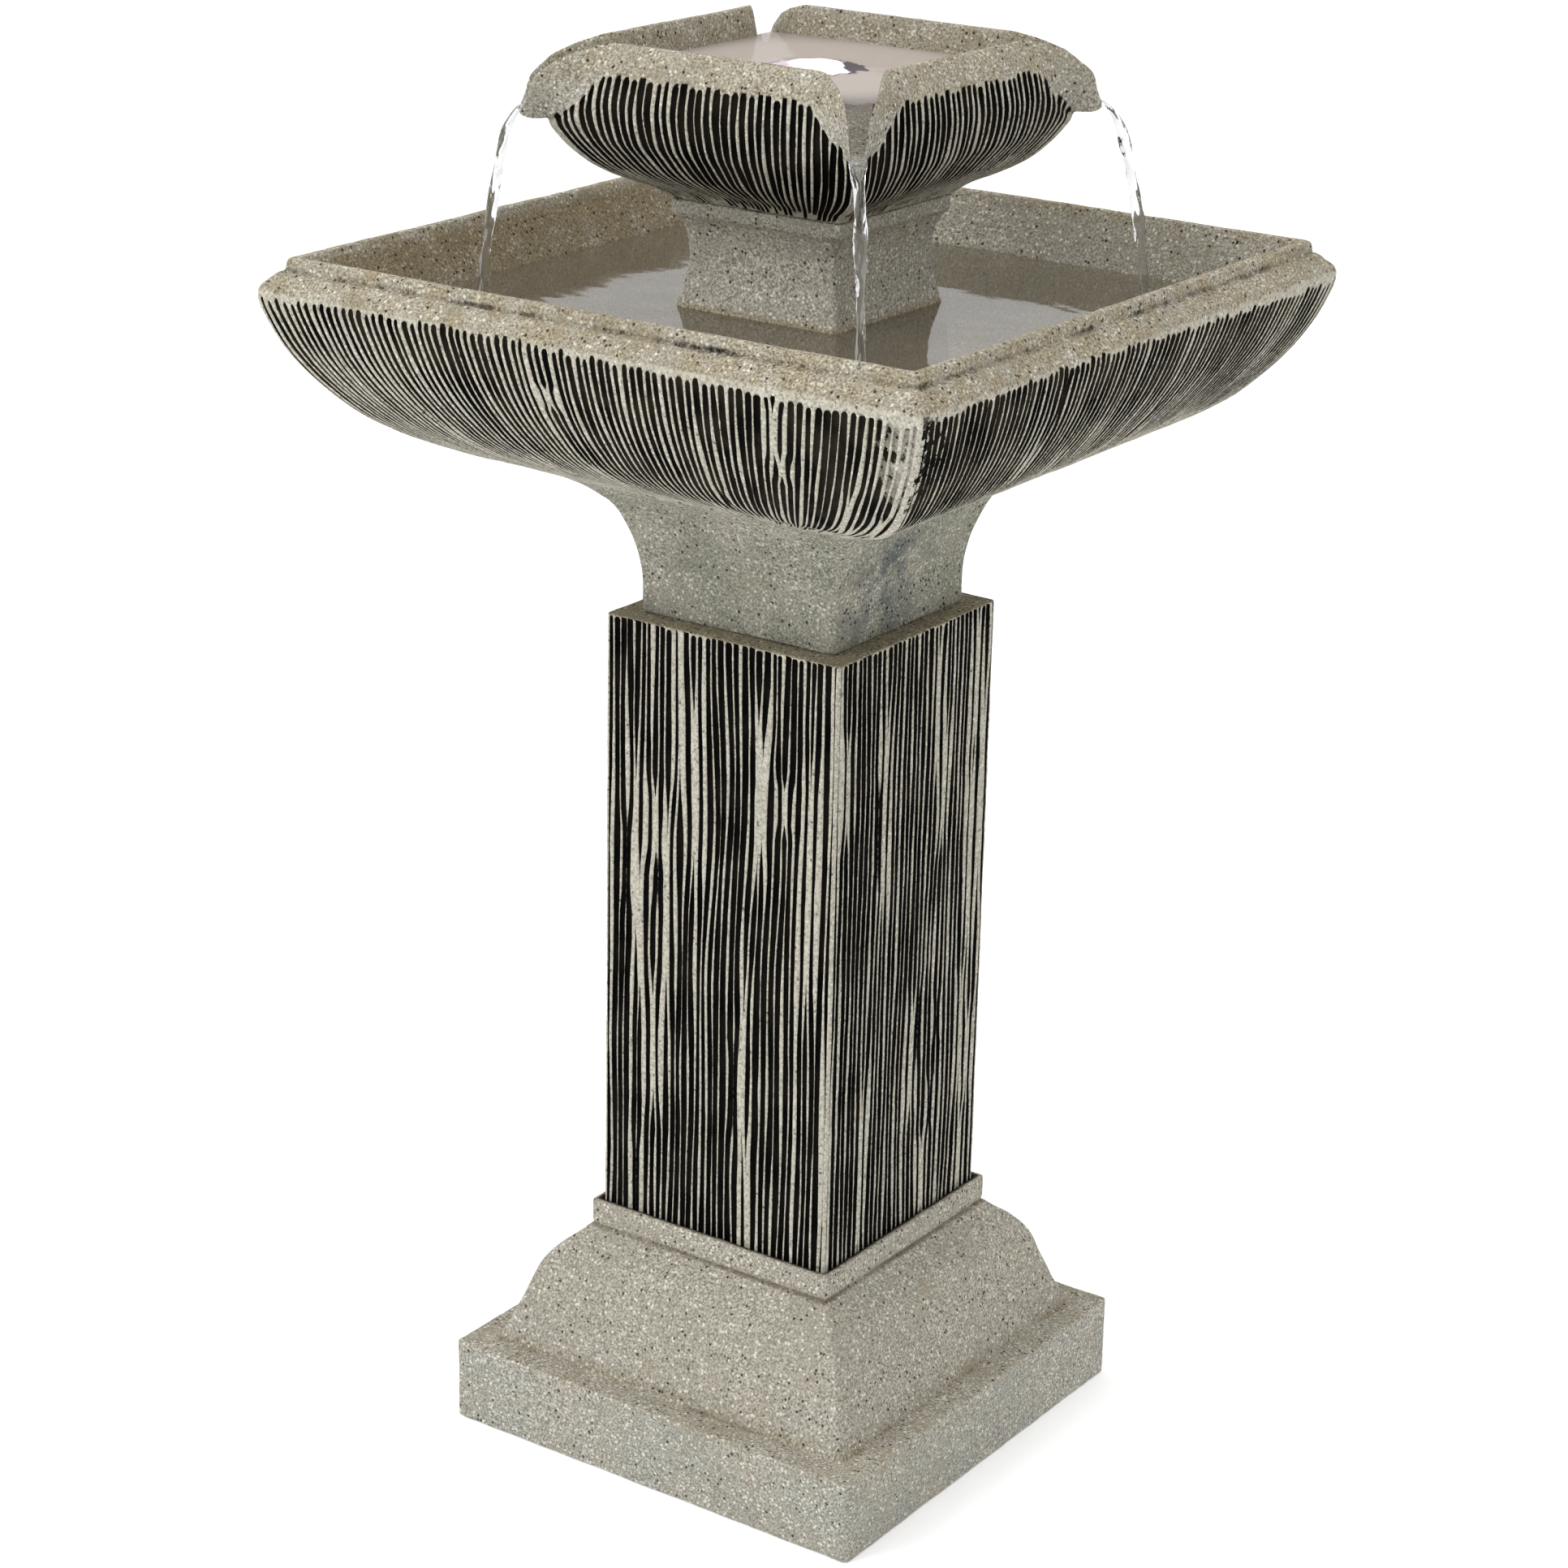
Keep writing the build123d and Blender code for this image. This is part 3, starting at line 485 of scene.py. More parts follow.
def make_basin():
    """Wide basin with a reeded belly, a banded rim and a smooth flared neck."""
    low, high = node_box("lower_basin")
    half, bottom, top = high[0], low[2], high[2]
    rest = node_box("pillar")[1][2]
    floor = node_box("riser_block")[0][2]
    reeds, depth, arc, wall, neck = 82, 1.6, 4, 14.0, 75.0
    # Half-widths of the cord hole, the spigot's bore and the spigot below the neck.
    hole, bore, spigot = 20, 42, 49
    widest = top - 20.5
    belly, belly_n = profile([
        [(half, widest), (243.3, 779), (234.6, 754.5), (222, 733), (205, 712.5), (192, 701.5), (175, 691),
         (151, 679.8), (132, 673), (113, 665)]
    ], pitch=5.2, soft=0.6, turn=9)
    belly_n = -belly_n
    # Closer rows where the grooves begin.
    fine = np.arange(1.4, 13, 1.6)
    length = np.append(0, np.cumsum(np.hypot(*np.diff(belly, axis=0).T)))
    places = np.concatenate([[0], fine, length[length > 14.5]])
    belly = np.column_stack([np.interp(places, length, belly[:, k]) for k in (0, 1)])
    belly_n = np.column_stack([np.interp(places, length, belly_n[:, k]) for k in (0, 1)])
    droop = (3.2, 0.5, 0.0, 2.4, 4.6, 5.2)
    # The right face's grooves are made wider and the front face's narrower, so their dark wash makes the
    # right face darker and the front lighter as painted shade and light.
    swell = ((0.78, 0.8, 0.84, 0.9, 0.94), (1.18, 1.1, 1.06, 1.02, 1.0), (0.9, 0.9), (0.9, 0.9))
    pattern = Reeds(reeds, places, seed=8, spacing=60, jitter=0.13, lone=0.16, starts=(-1.2, 2.6),
                    fades=(0.93, 1.05), width=0.43, sway=0.35, droop=droop, swell=swell)
    # The front face's grooves are worn shallow beside the front corner.
    pattern.depth[:, 0] *= 1 - smoothstep(0.87, 0.97, pattern.along[:, 0]) * 0.55
    corner = np.interp(belly[:, 0], [100, 150, 244], [6.0, 4.6, 3.4])
    taper = np.interp(belly[:, 0], [110, 160, 244], [0.55, 0.8, 1.0])[:, None, None]
    face = square_rings(belly, belly_n, pattern.along, -depth * taper * pattern.depth, corner, arc)
    shell = Shell()
    ribbed = shell.rows(face[::-1], pattern.ring_values(arc)[::-1], 1.0)
    rim, rim_n = profile([
        [(half, widest), (half - 1.4, widest + 3.6), (239.2, 794.6), (236, 797.9), (233.6, 799.4)],
        [(233.6, 799.4), (232.3, 799.2)], [(232.3, 799.2), (231.9, 803), (231.2, 806.6)],
        [(231.2, 806.6), (228.5, top - 0.2), (224.8, top - 0.6)], [(224.8, top - 0.6), (205, 773)],
    ], pitch=2.4, soft=0.55)
    rings = square_rings(rim[1:], rim_n[1:], even(150), 0, np.clip(rim[1:, 0] * 0.016, 2, 4), arc)
    # Painted shade: a patchy dark line in the crease between the rim band and the lip.
    rim_crease_shade = np.exp(-((rings[..., 2] - 800.4) / 2.1) ** 2) * (rim[1:, 0] > 229)[:, None]
    patchy = value_noise(rings, 26, 32) * 0.55 + value_noise(rings, 8, 33) * 0.4
    patchy += value_noise(rings, 3, 34) * 0.25
    inner = np.exp(-((rings[..., 2] - 803.5) / 2.2) ** 2) * (rim[1:, 0] < 226)[:, None] * 0.55
    wet = (rim[1:, 0] < 223.5)[:, None] * smoothstep(806, 800, rings[..., 2])
    wash = np.clip(rim_crease_shade * (0.17 + 0.19 * patchy) + inner * 0.14 * patchy, 0, 1)
    upper = shell.rows(rings, wash, wet=wet)
    shell.zip(ribbed[-1], upper[0])
    bowl, bowl_n = profile([
        [(205, 773), (198, 743), (187, 719), (168, floor)], [(168, floor), (hole, floor)],
    ], pitch=9, soft=0.9)
    rings = square_rings(bowl[1:], bowl_n[1:], even(50), 0, np.clip(bowl[1:, 0] * 0.02, 2, 4), arc)
    inside = shell.rows(rings, wet=1.0)
    shell.zip(upper[-1], inside[0])
    shell.cap(inside[-1])
    under, under_n = profile([
        *corners((hole, floor - wall), (neck - wall, floor - wall), (neck - wall, 600), (bore, rest),
                 (bore, bottom), (spigot, bottom), (spigot, rest), (neck, rest)),
        [(neck, rest), (neck, 590), (75.6, 601), (78.9, 620), (87.3, 643), (96, 653.2), (104, 659.8),
         (112, 664.6)],
    ], pitch=5.5, soft=1.2)
    under, under_n = under[:-1], under_n[:-1]
    lower = shell.rows(square_rings(under, under_n, even(44), 0, np.clip(under[:, 0] * 0.05, 2, 6), arc))
    shell.zip(lower[-1], ribbed[0])
    shell.cap(lower[0][::-1])
    return shell.piece("lower_basin_cast", rough=0.42, seed=31)


def make_riser():
    """Waisted hollow block with an arch in each side."""
    low, high = node_box("riser_block")
    bottom, top = low[2], high[2]
    foot, inner, wall, head, hole = 68.0, 46.0, 14.0, 63.9, 20
    stations, normals = profile([
        *corners((inner, bottom), (foot, bottom), (foot, bottom + 8)),
        [(foot, bottom + 8), (66.2, bottom + 30), (62.8, 766), (58.2, 786), (55.6, 803), (56.4, 818),
         (60.5, 829)],
        *corners((60.5, 829), (head, 832.5), (head, top), (hole, top)),
    ], pitch=4, soft=1.1)
    shell = Shell()
    corner = np.clip(stations[:, 0] * 0.085, 3, 5.5)
    circular = smoothstep(32, hole, stations[:, 0]) * (stations[:, 1] > top - 2)
    outer = shell.rows(square_rings(stations, normals, even(30), 0, corner, arc=4, round_to=circular))
    inside, inside_n = profile(corners(
        (hole, top), (hole, top - wall), (inner, top - wall), (inner, bottom),
    ), pitch=8, soft=0.7)
    lower = shell.rows(square_rings(inside[1:-1], inside_n[1:-1], even(30), 0, 3.0, arc=4,
                                    round_to=smoothstep(32, 21, inside[1:-1, 0])))
    shell.zip(outer[-1], lower[0])
    shell.zip(lower[-1], outer[0])
    riser = shell.piece("riser_cast", rough=0.5, seed=41)
    arch, arch_top, below, reach = 15, bottom + 16, bottom - 10, 100
    carve(riser, [
        cutter("arch_x", (-reach, -arch, below), (reach, arch, arch_top)),
        cutter("arch_y", (-arch, -reach, below), (arch, reach, arch_top)),
    ])
    return riser


# The upper bowl's plan changes from its faces to its corners. A place on a face is named by its distance
# from the corner, 0 at the corner line and 1 at the middle of the face.

# Half-width of the dish inside the rim, the width of the rim wall's foot and the height of the dish's edge.
DISH_HALF, DISH_BLEND, DISH_TOP = 97.0, 2.6, 916

# The two arms beside a spout: distances out along the corner line and the crest's heights there.
ARM_OUT = [91.5, 103.7, 113, 122, 126.6, 128.2, 128.9]
ARM_TOP = [939.5, 935, 930, 920, 910, 905, 899.5]

# The channel between them: distances out along the corner line and its floor's heights there.
CHANNEL_OUT, CHANNEL_TOP = [88, 97, 105, 115, 124, 129.5], [916, 914, 909.5, 903.5, 898.8, 896.8]

# Where the reeding ends below a spout's arms, as shares of the way from the corner, and its heights there.
RIB_SHARES, RIB_TOPS = [0.03, 0.065, 0.125, 0.22, 0.29, 0.34], [891.2, 892.4, 898, 906, 915, 921.6]

# The upper part of the reeded belly at mid-face: heights and half-widths.
BELLY_Z, BELLY_HALF = [884, 889, 893.5, 900, 910, 921], [114.3, 116.6, 117.6, 118, 117, 115]

# Rows between the control points of the outside, and the row where the reeding ends.
ROW_STEPS = [4, 4, 5, 5, 5, 5, 8, 3, 3, 3, 3]
RIB_TOP_ROW = sum(ROW_STEPS[:7])


def bowl_levels():
    """Heights that the bowl is built from, in millimetres."""
    low, high = node_box("upper_bowl")
    return {"foot": low[2], "deck": high[2] - 24, "well": high[2] - 40, "pocket": low[2] + 45}


def arm_offset(out):
    """Distance of an arm's crest from the corner line, for a distance out along that line."""
    return 4.3 + (ARM_OUT[-1] - np.asarray(out)) * 0.365


def channel_offset(out):
    """Half-width of the channel's floor."""
    return 3.2 + (128.5 - np.asarray(out)) * 0.2


def crest(share):
    """Half-width and height of the rim's crest at a share of the way from the corner to mid-face."""
    out = np.array(ARM_OUT[::-1])
    half = out + arm_offset(out) / sqrt(2)
    shares = np.concatenate([[0, 0.02, 0.034], sqrt(2) * arm_offset(out) / half])
    halves = np.concatenate([[129.3, 130.6, 131.4], half])
    tops = np.concatenate([[896.9, 897.0, 897.6], ARM_TOP[::-1]])
    return np.interp(share, shares, halves), np.interp(share, shares, tops)


def dish_height(half, share):
    """Height of the stone inside the crest: rim wall, channel and deck."""
    offset = share * half / sqrt(2)
    out = half * (1 - share / 2)
    side = smoothstep(channel_offset(out), arm_offset(out), offset)
    wall = smoothstep(DISH_HALF - 0.4, DISH_HALF + DISH_BLEND, half)
    floor = DISH_TOP - (DISH_TOP - np.interp(out, CHANNEL_OUT, CHANNEL_TOP)) * (1 - side)
    top = np.interp(out, ARM_OUT, ARM_TOP)
    return floor + (top - floor) * side * wall


def bowl_outline(share):
    """Control points of the outside, from the foot to the crest, at a share of the way from the corner."""
    half, height = (float(v) for v in crest(share))
    plain = float(smoothstep(0.2, 0.34, share))
    tongue = float(smoothstep(0.07, 0.049, share))
    rib_z = float(np.interp(share, RIB_SHARES, RIB_TOPS))
    rib_w = float(np.interp(rib_z, BELLY_Z, BELLY_HALF))
    below = BELLY_Z[0] + (rib_z - BELLY_Z[0]) * 0.5
    points = [(64, 842), (71.5, 848), (83, 853.6), (97, 862.3), (107.3, 873.3), (BELLY_HALF[0], BELLY_Z[0])]
    points += [(float(np.interp(below, BELLY_Z, BELLY_HALF)), below), (rib_w, rib_z)]
    rims = [(113.4, 925.6), (110.6, 931.6), (106.8, 937.0)]
    arms = [(rib_w + (half - rib_w) * part + bulge, rib_z + (height - rib_z) * part)
            for part, bulge in ((0.34, 3.0), (0.66, 4.4), (0.9, 2.8))]
    tips = [(rib_w + 3.5, 892.3), (half - 4.5, 891.8), (half - 0.2, 894.2)]
    for rim, arm, tip in zip(rims, arms, tips):
        mixed = np.array(rim) * plain + np.array(arm) * (1 - plain)
        points.append(tuple(mixed * (1 - tongue) + np.array(tip) * tongue))
    points.append((half, height))
    return np.array(points)


def make_upper_bowl():
    """Spouted bowl: a reeded belly, four beaks with channels, a dish and a lamp well."""
    level = bowl_levels()
    shares = np.concatenate([np.linspace(0, 0.36, 61), [0.45, 0.6, 0.8, 1.0]])
    table = np.array([dense_rows(bowl_outline(s)) for s in shares])
    length = np.append(0, np.cumsum(np.hypot(*np.diff(table[-1], axis=0).T)))
    from_top = (length[RIB_TOP_ROW] - length[:RIB_TOP_ROW + 1])[::-1]
    pattern = Reeds(38, from_top, seed=14, spacing=40, jitter=0.1, lone=0.05, starts=(-1.8, 0.8),
                    fades=(0.97, 1.1), sway=0.3)
    over = table.shape[1] - RIB_TOP_ROW - 1
    along = np.concatenate([pattern.along[::-1], np.repeat(pattern.along[:1], over, 0)])
    groove = np.concatenate([pattern.depth[::-1], np.zeros((over,) + pattern.depth.shape[1:])])
    return spouted_shell(level, table, shares, refine_ends(along), refine_ends(groove), 1.6)


def refine_ends(values):
    """Three times as many columns near the corners of the faces."""
    last, reach, part = values.shape[-1] - 1, 16, 1 / 3
    place = np.concatenate([np.arange(0, reach, part), np.arange(reach, last - reach),
                            np.arange(last - reach, last + 0.1, part)])
    low = np.minimum(place.astype(int), last - 1)
    return values[..., low] * (1 - (place - low)) + values[..., low + 1] * (place - low)


def dense_rows(points):
    """A fixed number of rows between each pair of control points, on a smooth curve."""
    ends = np.vstack([2 * points[0] - points[1], points, 2 * points[-1] - points[-2]])
    out = []
    for k, steps in enumerate(ROW_STEPS):
        part = np.linspace(0, 1, steps, endpoint=False)[:, None]
        out.append(cubic(*ends[k:k + 4], part))
    out.append(points[-1:])
    return np.vstack(out)


def spouted_shell(level, table, shares, along, groove, depth):
    """Joins the outside, the dish, the lamp well and the pocket of the upper bowl."""
    rows = along.shape[0]
    share = 1 - np.abs(along)
    half = np.empty_like(along)
    height = np.empty_like(along)
    for row in range(rows):
        half[row] = np.interp(share[row], shares, table[:, row, 0])
        height[row] = np.interp(share[row], shares, table[:, row, 1])
    inner_half, inner_height = dish_rows(share[-1], half[-1], height[-1])
    half = np.concatenate([half, inner_half])
    height = np.concatenate([height, inner_height])
    # The rim's rows are blurred a little, which rounds its edges.
    for _ in range(3):
        for values in (half, height):
            first = RIB_TOP_ROW + 2
            blurred = values[first - 1:-2] * 0.25 + values[first:-1] * 0.5 + values[first + 1:] * 0.25
            values[first:-1] = blurred
    extra = len(inner_half)
    along = np.concatenate([along, np.repeat(along[-1:], extra, 0)])
    groove = np.concatenate([groove, np.zeros_like(inner_half)])
    tangent_w, tangent_z = np.gradient(half, axis=0), np.gradient(height, axis=0)
    size = np.hypot(tangent_w, tangent_z) + 1e-9
    cut = groove * smoothstep(0.01, 0.05, 1 - np.abs(along))
    cut_half = half - tangent_z / size * cut * depth
    cut_height = height + tangent_w / size * cut * depth
    outside = face_loops(cut_half, cut_height, along)
    reed = (np.arange(rows + extra) <= RIB_TOP_ROW)[:, None] * 1.0
    shell = Shell()
    cast = shell.rows(outside, np.concatenate([cut[:, k, :-1] for k in range(4)], axis=1), reed)
    # Half-widths of the lamp well above and the pocket below.
    well, pocket_half = 31.5, 44
    deck, deck_n = profile(corners(
        (86, DISH_TOP), (well + 2, level["deck"]), (well, level["deck"] - 2), (well, level["well"]),
        (6, level["well"]),
    ), pitch=6, soft=0.7)
    middle = shell.rows(square_rings(deck, deck_n, even(20), 0, np.minimum(3, deck[:, 0] * 0.1), arc=3,
                                     round_to=smoothstep(70, 34, deck[:, 0])))
    shell.zip(cast[-1], middle[0])
    shell.cap(middle[-1])
    pocket, pocket_n = profile(corners(
        (10, level["pocket"]), (pocket_half, level["pocket"]), (pocket_half, level["foot"]),
        (63, level["foot"] + 0.4),
    ), pitch=6, soft=0.8)
    under = shell.rows(square_rings(pocket, pocket_n, even(20), 0, 3.0, arc=3))
    shell.zip(under[-1], cast[0])
    shell.cap(under[0][::-1])
    return shell.piece("upper_bowl_cast", rough=0.34, seed=51, bend=bend_spouts)


def bend_spouts(points):
    """The front and back spouts lean a little to the left, as the casting does."""
    points = np.array(points, float)
    toward = (points[..., 0] - points[..., 1]) / sqrt(2)
    lean = np.interp(toward, [134, 150, 162, 172, 184], [0, 1.5, 3.4, 6, 8.8])
    lean += 3.6 * smoothstep(112, 150, -toward)
    points[..., 0] -= lean / sqrt(2)
    points[..., 1] -= lean / sqrt(2)
    return points


def face_loops(half, height, along):
    """Rings of mitred square plan from (rows, 4, columns) half-widths, heights and places."""
    loops = []
    for k, (out, way) in enumerate(FACES):
        w, z, u = half[:, k, :-1], height[:, k, :-1], along[:, k, :-1]
        loops.append(np.stack([out[0] * w + way[0] * u * w, out[1] * w + way[1] * u * w, z], axis=-1))
    return np.concatenate(loops, axis=1)


def dish_rows(share, half, height):
    """Half-widths and heights of the rows from the crest inwards, over the rim and the channels."""
    halves, heights = [], []
    for part in (0.05, 0.11, 0.18, 0.26, 0.35, 0.45, 0.56, 0.67, 0.78, 0.89, 1.0):
        w = half + (DISH_HALF + DISH_BLEND - half) * part
        blend = smoothstep(0.0, 0.16, part)
        halves.append(w)
        heights.append(height * (1 - blend) + dish_height(w, share) * blend)
    for w in (98.9, 98.3, 97.8, 97.4, 96.9, 96.4, 95.5, 92, 88):
        halves.append(np.full(half.shape, float(w)))
        heights.append(dish_height(halves[-1], share))
    return np.array(halves), np.array(heights)


# ---------------------------------------------------------------- water

def make_pool():
    """The lower pool: its surface has ripples round the four streams, and its sides lie in the stone."""
    below_rim, edge, ripple_length = 35, 208.0, 14
    level = node_box("lower_basin")[1][2] - below_rim
    places = np.linspace(-1, 1, 101)
    halves = np.concatenate([np.arange(3, 207, 2.3), [edge]])
    w = np.broadcast_to(halves[:, None, None], (len(halves), 4, len(places)))
    surface = face_loops(w, np.full(w.shape, level), np.broadcast_to(places, w.shape))
    x, y = surface[..., 0], surface[..., 1]
    ripple = np.zeros_like(x)
    # Where each stream falls in and how high its ripples are.
    for fall_x, fall_y, high in ((148, -148, 0.1), (-146, -146, 0.2), (152.5, 152.5, 0.2), (-148, 148, 0.2)):
        distance = np.hypot(x - fall_x, y - fall_y)
        wobble = distance + 6 * value_noise(surface, 45, 71)
        rings = np.cos(wobble * 2 * pi / ripple_length) * np.exp(-distance / 38)
        ripple += high * rings * smoothstep(0, 9, distance)
    stretched = surface * np.array([1.0, 1.7, 0.0])
    surface[..., 2] += ripple + value_noise(stretched, 70, 3) * 0.25 + value_noise(stretched, 23, 4) * 0.05
    sides = np.array([(edge, level - 1), (201.5, 743), (190.5, 719), (177, 707), (173, 700), (40, 699)])
    w = np.broadcast_to(sides[:, :1, None], (len(sides), 4, len(places)))
    z = np.broadcast_to(sides[:, 1:, None], w.shape)
    hidden = face_loops(w, z, np.broadcast_to(places, w.shape))
    shell = Shell()
    rings = shell.rows(np.concatenate([surface, hidden]))
    shell.cap(rings[0][::-1])
    shell.cap(rings[-1])
    return shell.piece("pool_water")


def make_film():
    """Water on the upper bowl: it wells up over the lamp and runs into the four channels."""
    shares = np.concatenate([np.linspace(0, 0.3, 25), np.linspace(0.36, 1, 12)])
    places = np.concatenate([-1 + shares, (1 - shares[:-1])[::-1]])
    share = 1 - np.abs(places)
    # Half-width of the film inside the rim, and its ends along the channels.
    inner = 98.4
    halves = np.array([4, 9, 14, 19, 24, 29, 34, 40, 48, 56, 64, 72, 80, 88, 93, inner])
    rows = [(np.full(places.shape, half), film_height(half, places)) for half in halves]
    edge = np.interp(share, [0, 0.034, 0.07, 0.1, 0.126, 0.15], [129.9, 131.4, 119.8, 111.3, 104.5, inner])
    for part in (0.1, 0.2, 0.3, 0.42, 0.54, 0.66, 0.78, 0.89, 1.0):
        half = inner + (edge - inner) * part
        out = half * (1 - share / 2)
        lift = np.interp(out, [95, 105, 118, 130], [5.0, 4.2, 3.2, 1.6])
        level = np.minimum(film_height(inner, places), np.interp(out, CHANNEL_OUT, CHANNEL_TOP) + lift)
        rows.append((half, np.where(edge > inner + 0.1, level, film_height(inner, places))))
    w = np.array([r[0] for r in rows])[:, None].repeat(4, 1)
    z = np.array([r[1] for r in rows])[:, None].repeat(4, 1)
    u = np.broadcast_to(places, w.shape)
    upper = face_loops(w, z, u)
    upper[..., 2] += value_noise(upper, 16, 61) * 0.2 + value_noise(upper, 7, 62) * 0.1
    # The film's edge turns down, and its underside lies inside the stone.
    lower = upper[-1:].copy()
    lower[..., 2] -= 2.6
    lower[..., :2] *= 0.99
    deep = face_loops(*(np.broadcast_to(v, (1, 4, len(places))) for v in (90.0, 913.0)), u[:1])
    shell = Shell()
    surface = shell.rows(np.concatenate([upper, lower, deep]))
    shell.cap(surface[0][::-1])
    shell.cap(surface[-1])
    return shell.piece("bowl_water", bend=bend_spouts)


def film_height(half, places):
    """Level of the upper water, with a low mound where the nozzle pushes it up, and rings round it."""
    distance = np.hypot(half, half * places)
    level, mound, ring = 921, 4.6, 0.7
    mound_shape, ring_shape = np.exp(-(distance / 19) ** 2), np.cos(distance * 0.42) * np.exp(-distance / 26)
    return level + mound * mound_shape + ring * ring_shape


def make_streams():
    """Four falling streams, one from each spout."""
    flows = (((1, -1), 1.9), ((1, 1), 2.25), ((-1, 1), 1.9), ((-1, -1), 1.55))
    return [make_stream(number, np.array(way) / sqrt(2), reach) for number, (way, reach) in enumerate(flows)]


def make_stream(number, out, reach):
    """A thin twisting ribbon of water that leaves the tip and falls on a parabola.

    out is its way in plan, and reach scales how far out it gets as it falls.
    """
    across = np.array([-out[1], out[0]])
    start, end, tip = 899.0, 769.0, 129.2
    drops = np.concatenate([[-1.2, -0.4, 0.4], 1 + np.linspace(0, 1, 90) ** 1.25 * (start - end - 1)])
    rng = np.random.default_rng(70 + number)
    turn = np.linspace(0, 2 * pi, 24, endpoint=False)
    wide = wander(rng, 4, drops, 17)
    rings = []
    for row, drop in enumerate(drops):
        fall = max(drop, 0.0)
        distance = (tip + reach * sqrt(fall)) * sqrt(2) - 2.2 * (1 - smoothstep(0, 14, fall))
        width = np.interp(drop, [-1.2, 0.4, 8, 45, 130], [3.4, 4.6, 4.1, 3.3, 2.5])
        thick = np.interp(drop, [-1.2, 0.4, 8, 30, 130], [1.0, 1.6, 2.2, 3.3, 3.0])
        width, thick = width * (1 + 0.16 * wide[0, row]), thick * (1 + 0.18 * wide[1, row])
        twist = 0.55 * wide[2, row] * smoothstep(0, 30, drop)
        lobes = 1 + 0.2 * np.cos(2 * turn + drop * 0.12 + number) + 0.1 * np.cos(3 * turn - drop * 0.21)
        lobes += 0.05 * np.cos(5 * turn + drop * 0.33 + 2 * wide[3, row])
        side, front = np.cos(turn) * width * lobes, np.sin(turn) * thick * lobes
        side, front = side * cos(twist) - front * sin(twist), side * sin(twist) + front * cos(twist)
        plan = out * distance + front[:, None] * out + side[:, None] * across
        rings.append(np.column_stack([plan, np.full(len(turn), start - drop)]))
    shell = Shell()
    index = shell.rows(rings)
    shell.cap(index[0][::-1])
    shell.cap(index[-1])
    return shell.piece(f"stream_{number + 1}", bend=bend_spouts)


# ---------------------------------------------------------------- materials

class Nodes:
    """Short names for building a material's node tree."""

    def __init__(self, name):
        self.material = bpy.data.materials.new(name)
        self.material.use_nodes = True
        self.tree = self.material.node_tree
        self.tree.nodes.clear()
        self.out = self.tree.nodes.new("ShaderNodeOutputMaterial")

    def node(self, kind, inputs=None, **settings):
        """A shader node with its settings and its inputs, each a value or another node's output."""
        made = self.tree.nodes.new("ShaderNode" + kind)
        for key, value in settings.items():
            setattr(made, key, value)
        for key, value in (inputs or {}).items():
            if isinstance(value, bpy.types.NodeSocket):
                self.tree.links.new(value, made.inputs[key])
            else:
                made.inputs[key].default_value = value
        return made

    def place(self):
        """Object coordinates, which are the frame's metres."""
        return self.node("TexCoord").outputs["Object"]

    def noise(self, size, detail=2.0, rough=0.5, place=None):
        """Noise with lumps of about size metres."""
        made = self.node("TexNoise", {"Vector": place or self.place(), "Scale": 1 / size, "Detail": detail,
                                      "Roughness": rough})
        return made.outputs["Fac"]

    def attribute(self, label):
        """One of the wash and painted-shade values that the castings carry."""
        return self.node("Attribute", attribute_name=label).outputs["Fac"]

    def vector(self, operation, first, second=None, output=0):
        """Vector arithmetic."""
        inputs = {0: first} if second is None else {0: first, 1: second}
        return self.node("VectorMath", inputs, operation=operation).outputs[output]

    def times(self, first, *others):
        """A product."""
        for other in others:
            first = self.math("MULTIPLY", first, other)
        return first

    def plus(self, first, second):
        """A sum."""
        return self.math("ADD", first, second)

    def minus(self, first, second):
        """A difference."""
        return self.math("SUBTRACT", first, second)

    def ramp(self, value, low, high, start=0.0, end=1.0):
        """Maps low..high to start..end, clamped."""
        inputs = {"Value": value, "From Min": low, "From Max": high, "To Min": start, "To Max": end}
        return self.node("MapRange", inputs, interpolation_type="SMOOTHSTEP").outputs["Result"]

    def math(self, operation, *values):
        """Arithmetic on single values."""
        return self.node("Math", dict(enumerate(values)), operation=operation).outputs[0]

    def mix(self, share, first, second, blend="MIX"):
        """The second colour over the first."""
        made = self.node("Mix", data_type="RGBA", blend_type=blend)
        made.clamp_factor = True
        for socket, value in (("Factor", share), ("A", first), ("B", second)):
            spot = next(i for i in made.inputs if i.name == socket and i.enabled)
            if isinstance(value, bpy.types.NodeSocket):
                self.tree.links.new(value, spot)
            else:
                spot.default_value = value
        return next(o for o in made.outputs if o.enabled)

    def bump(self, height, distance, strength=1.0):
        """A normal tilted by a height field of distance metres."""
        inputs = {"Height": height, "Distance": distance, "Strength": strength}
        return self.node("Bump", inputs).outputs["Normal"]

    def shader(self, kind, inputs):
        """A shader's output."""
        return self.node(kind, inputs).outputs[0]

    def blend(self, share, first, second):
        """The second shader over the first."""
        return self.shader("MixShader", {0: share, 1: first, 2: second})

    def surface(self, shader):
        """The finished material."""
        self.tree.links.new(shader, self.out.inputs["Surface"])
        return self.material


def rgb(red, green, blue):
    """A linear colour from 0-255 screen values."""
    linear = [((v / 255 + 0.055) / 1.055) ** 2.4 if v > 10 else v / 3294 for v in (red, green, blue)]
    return (*linear, 1.0)


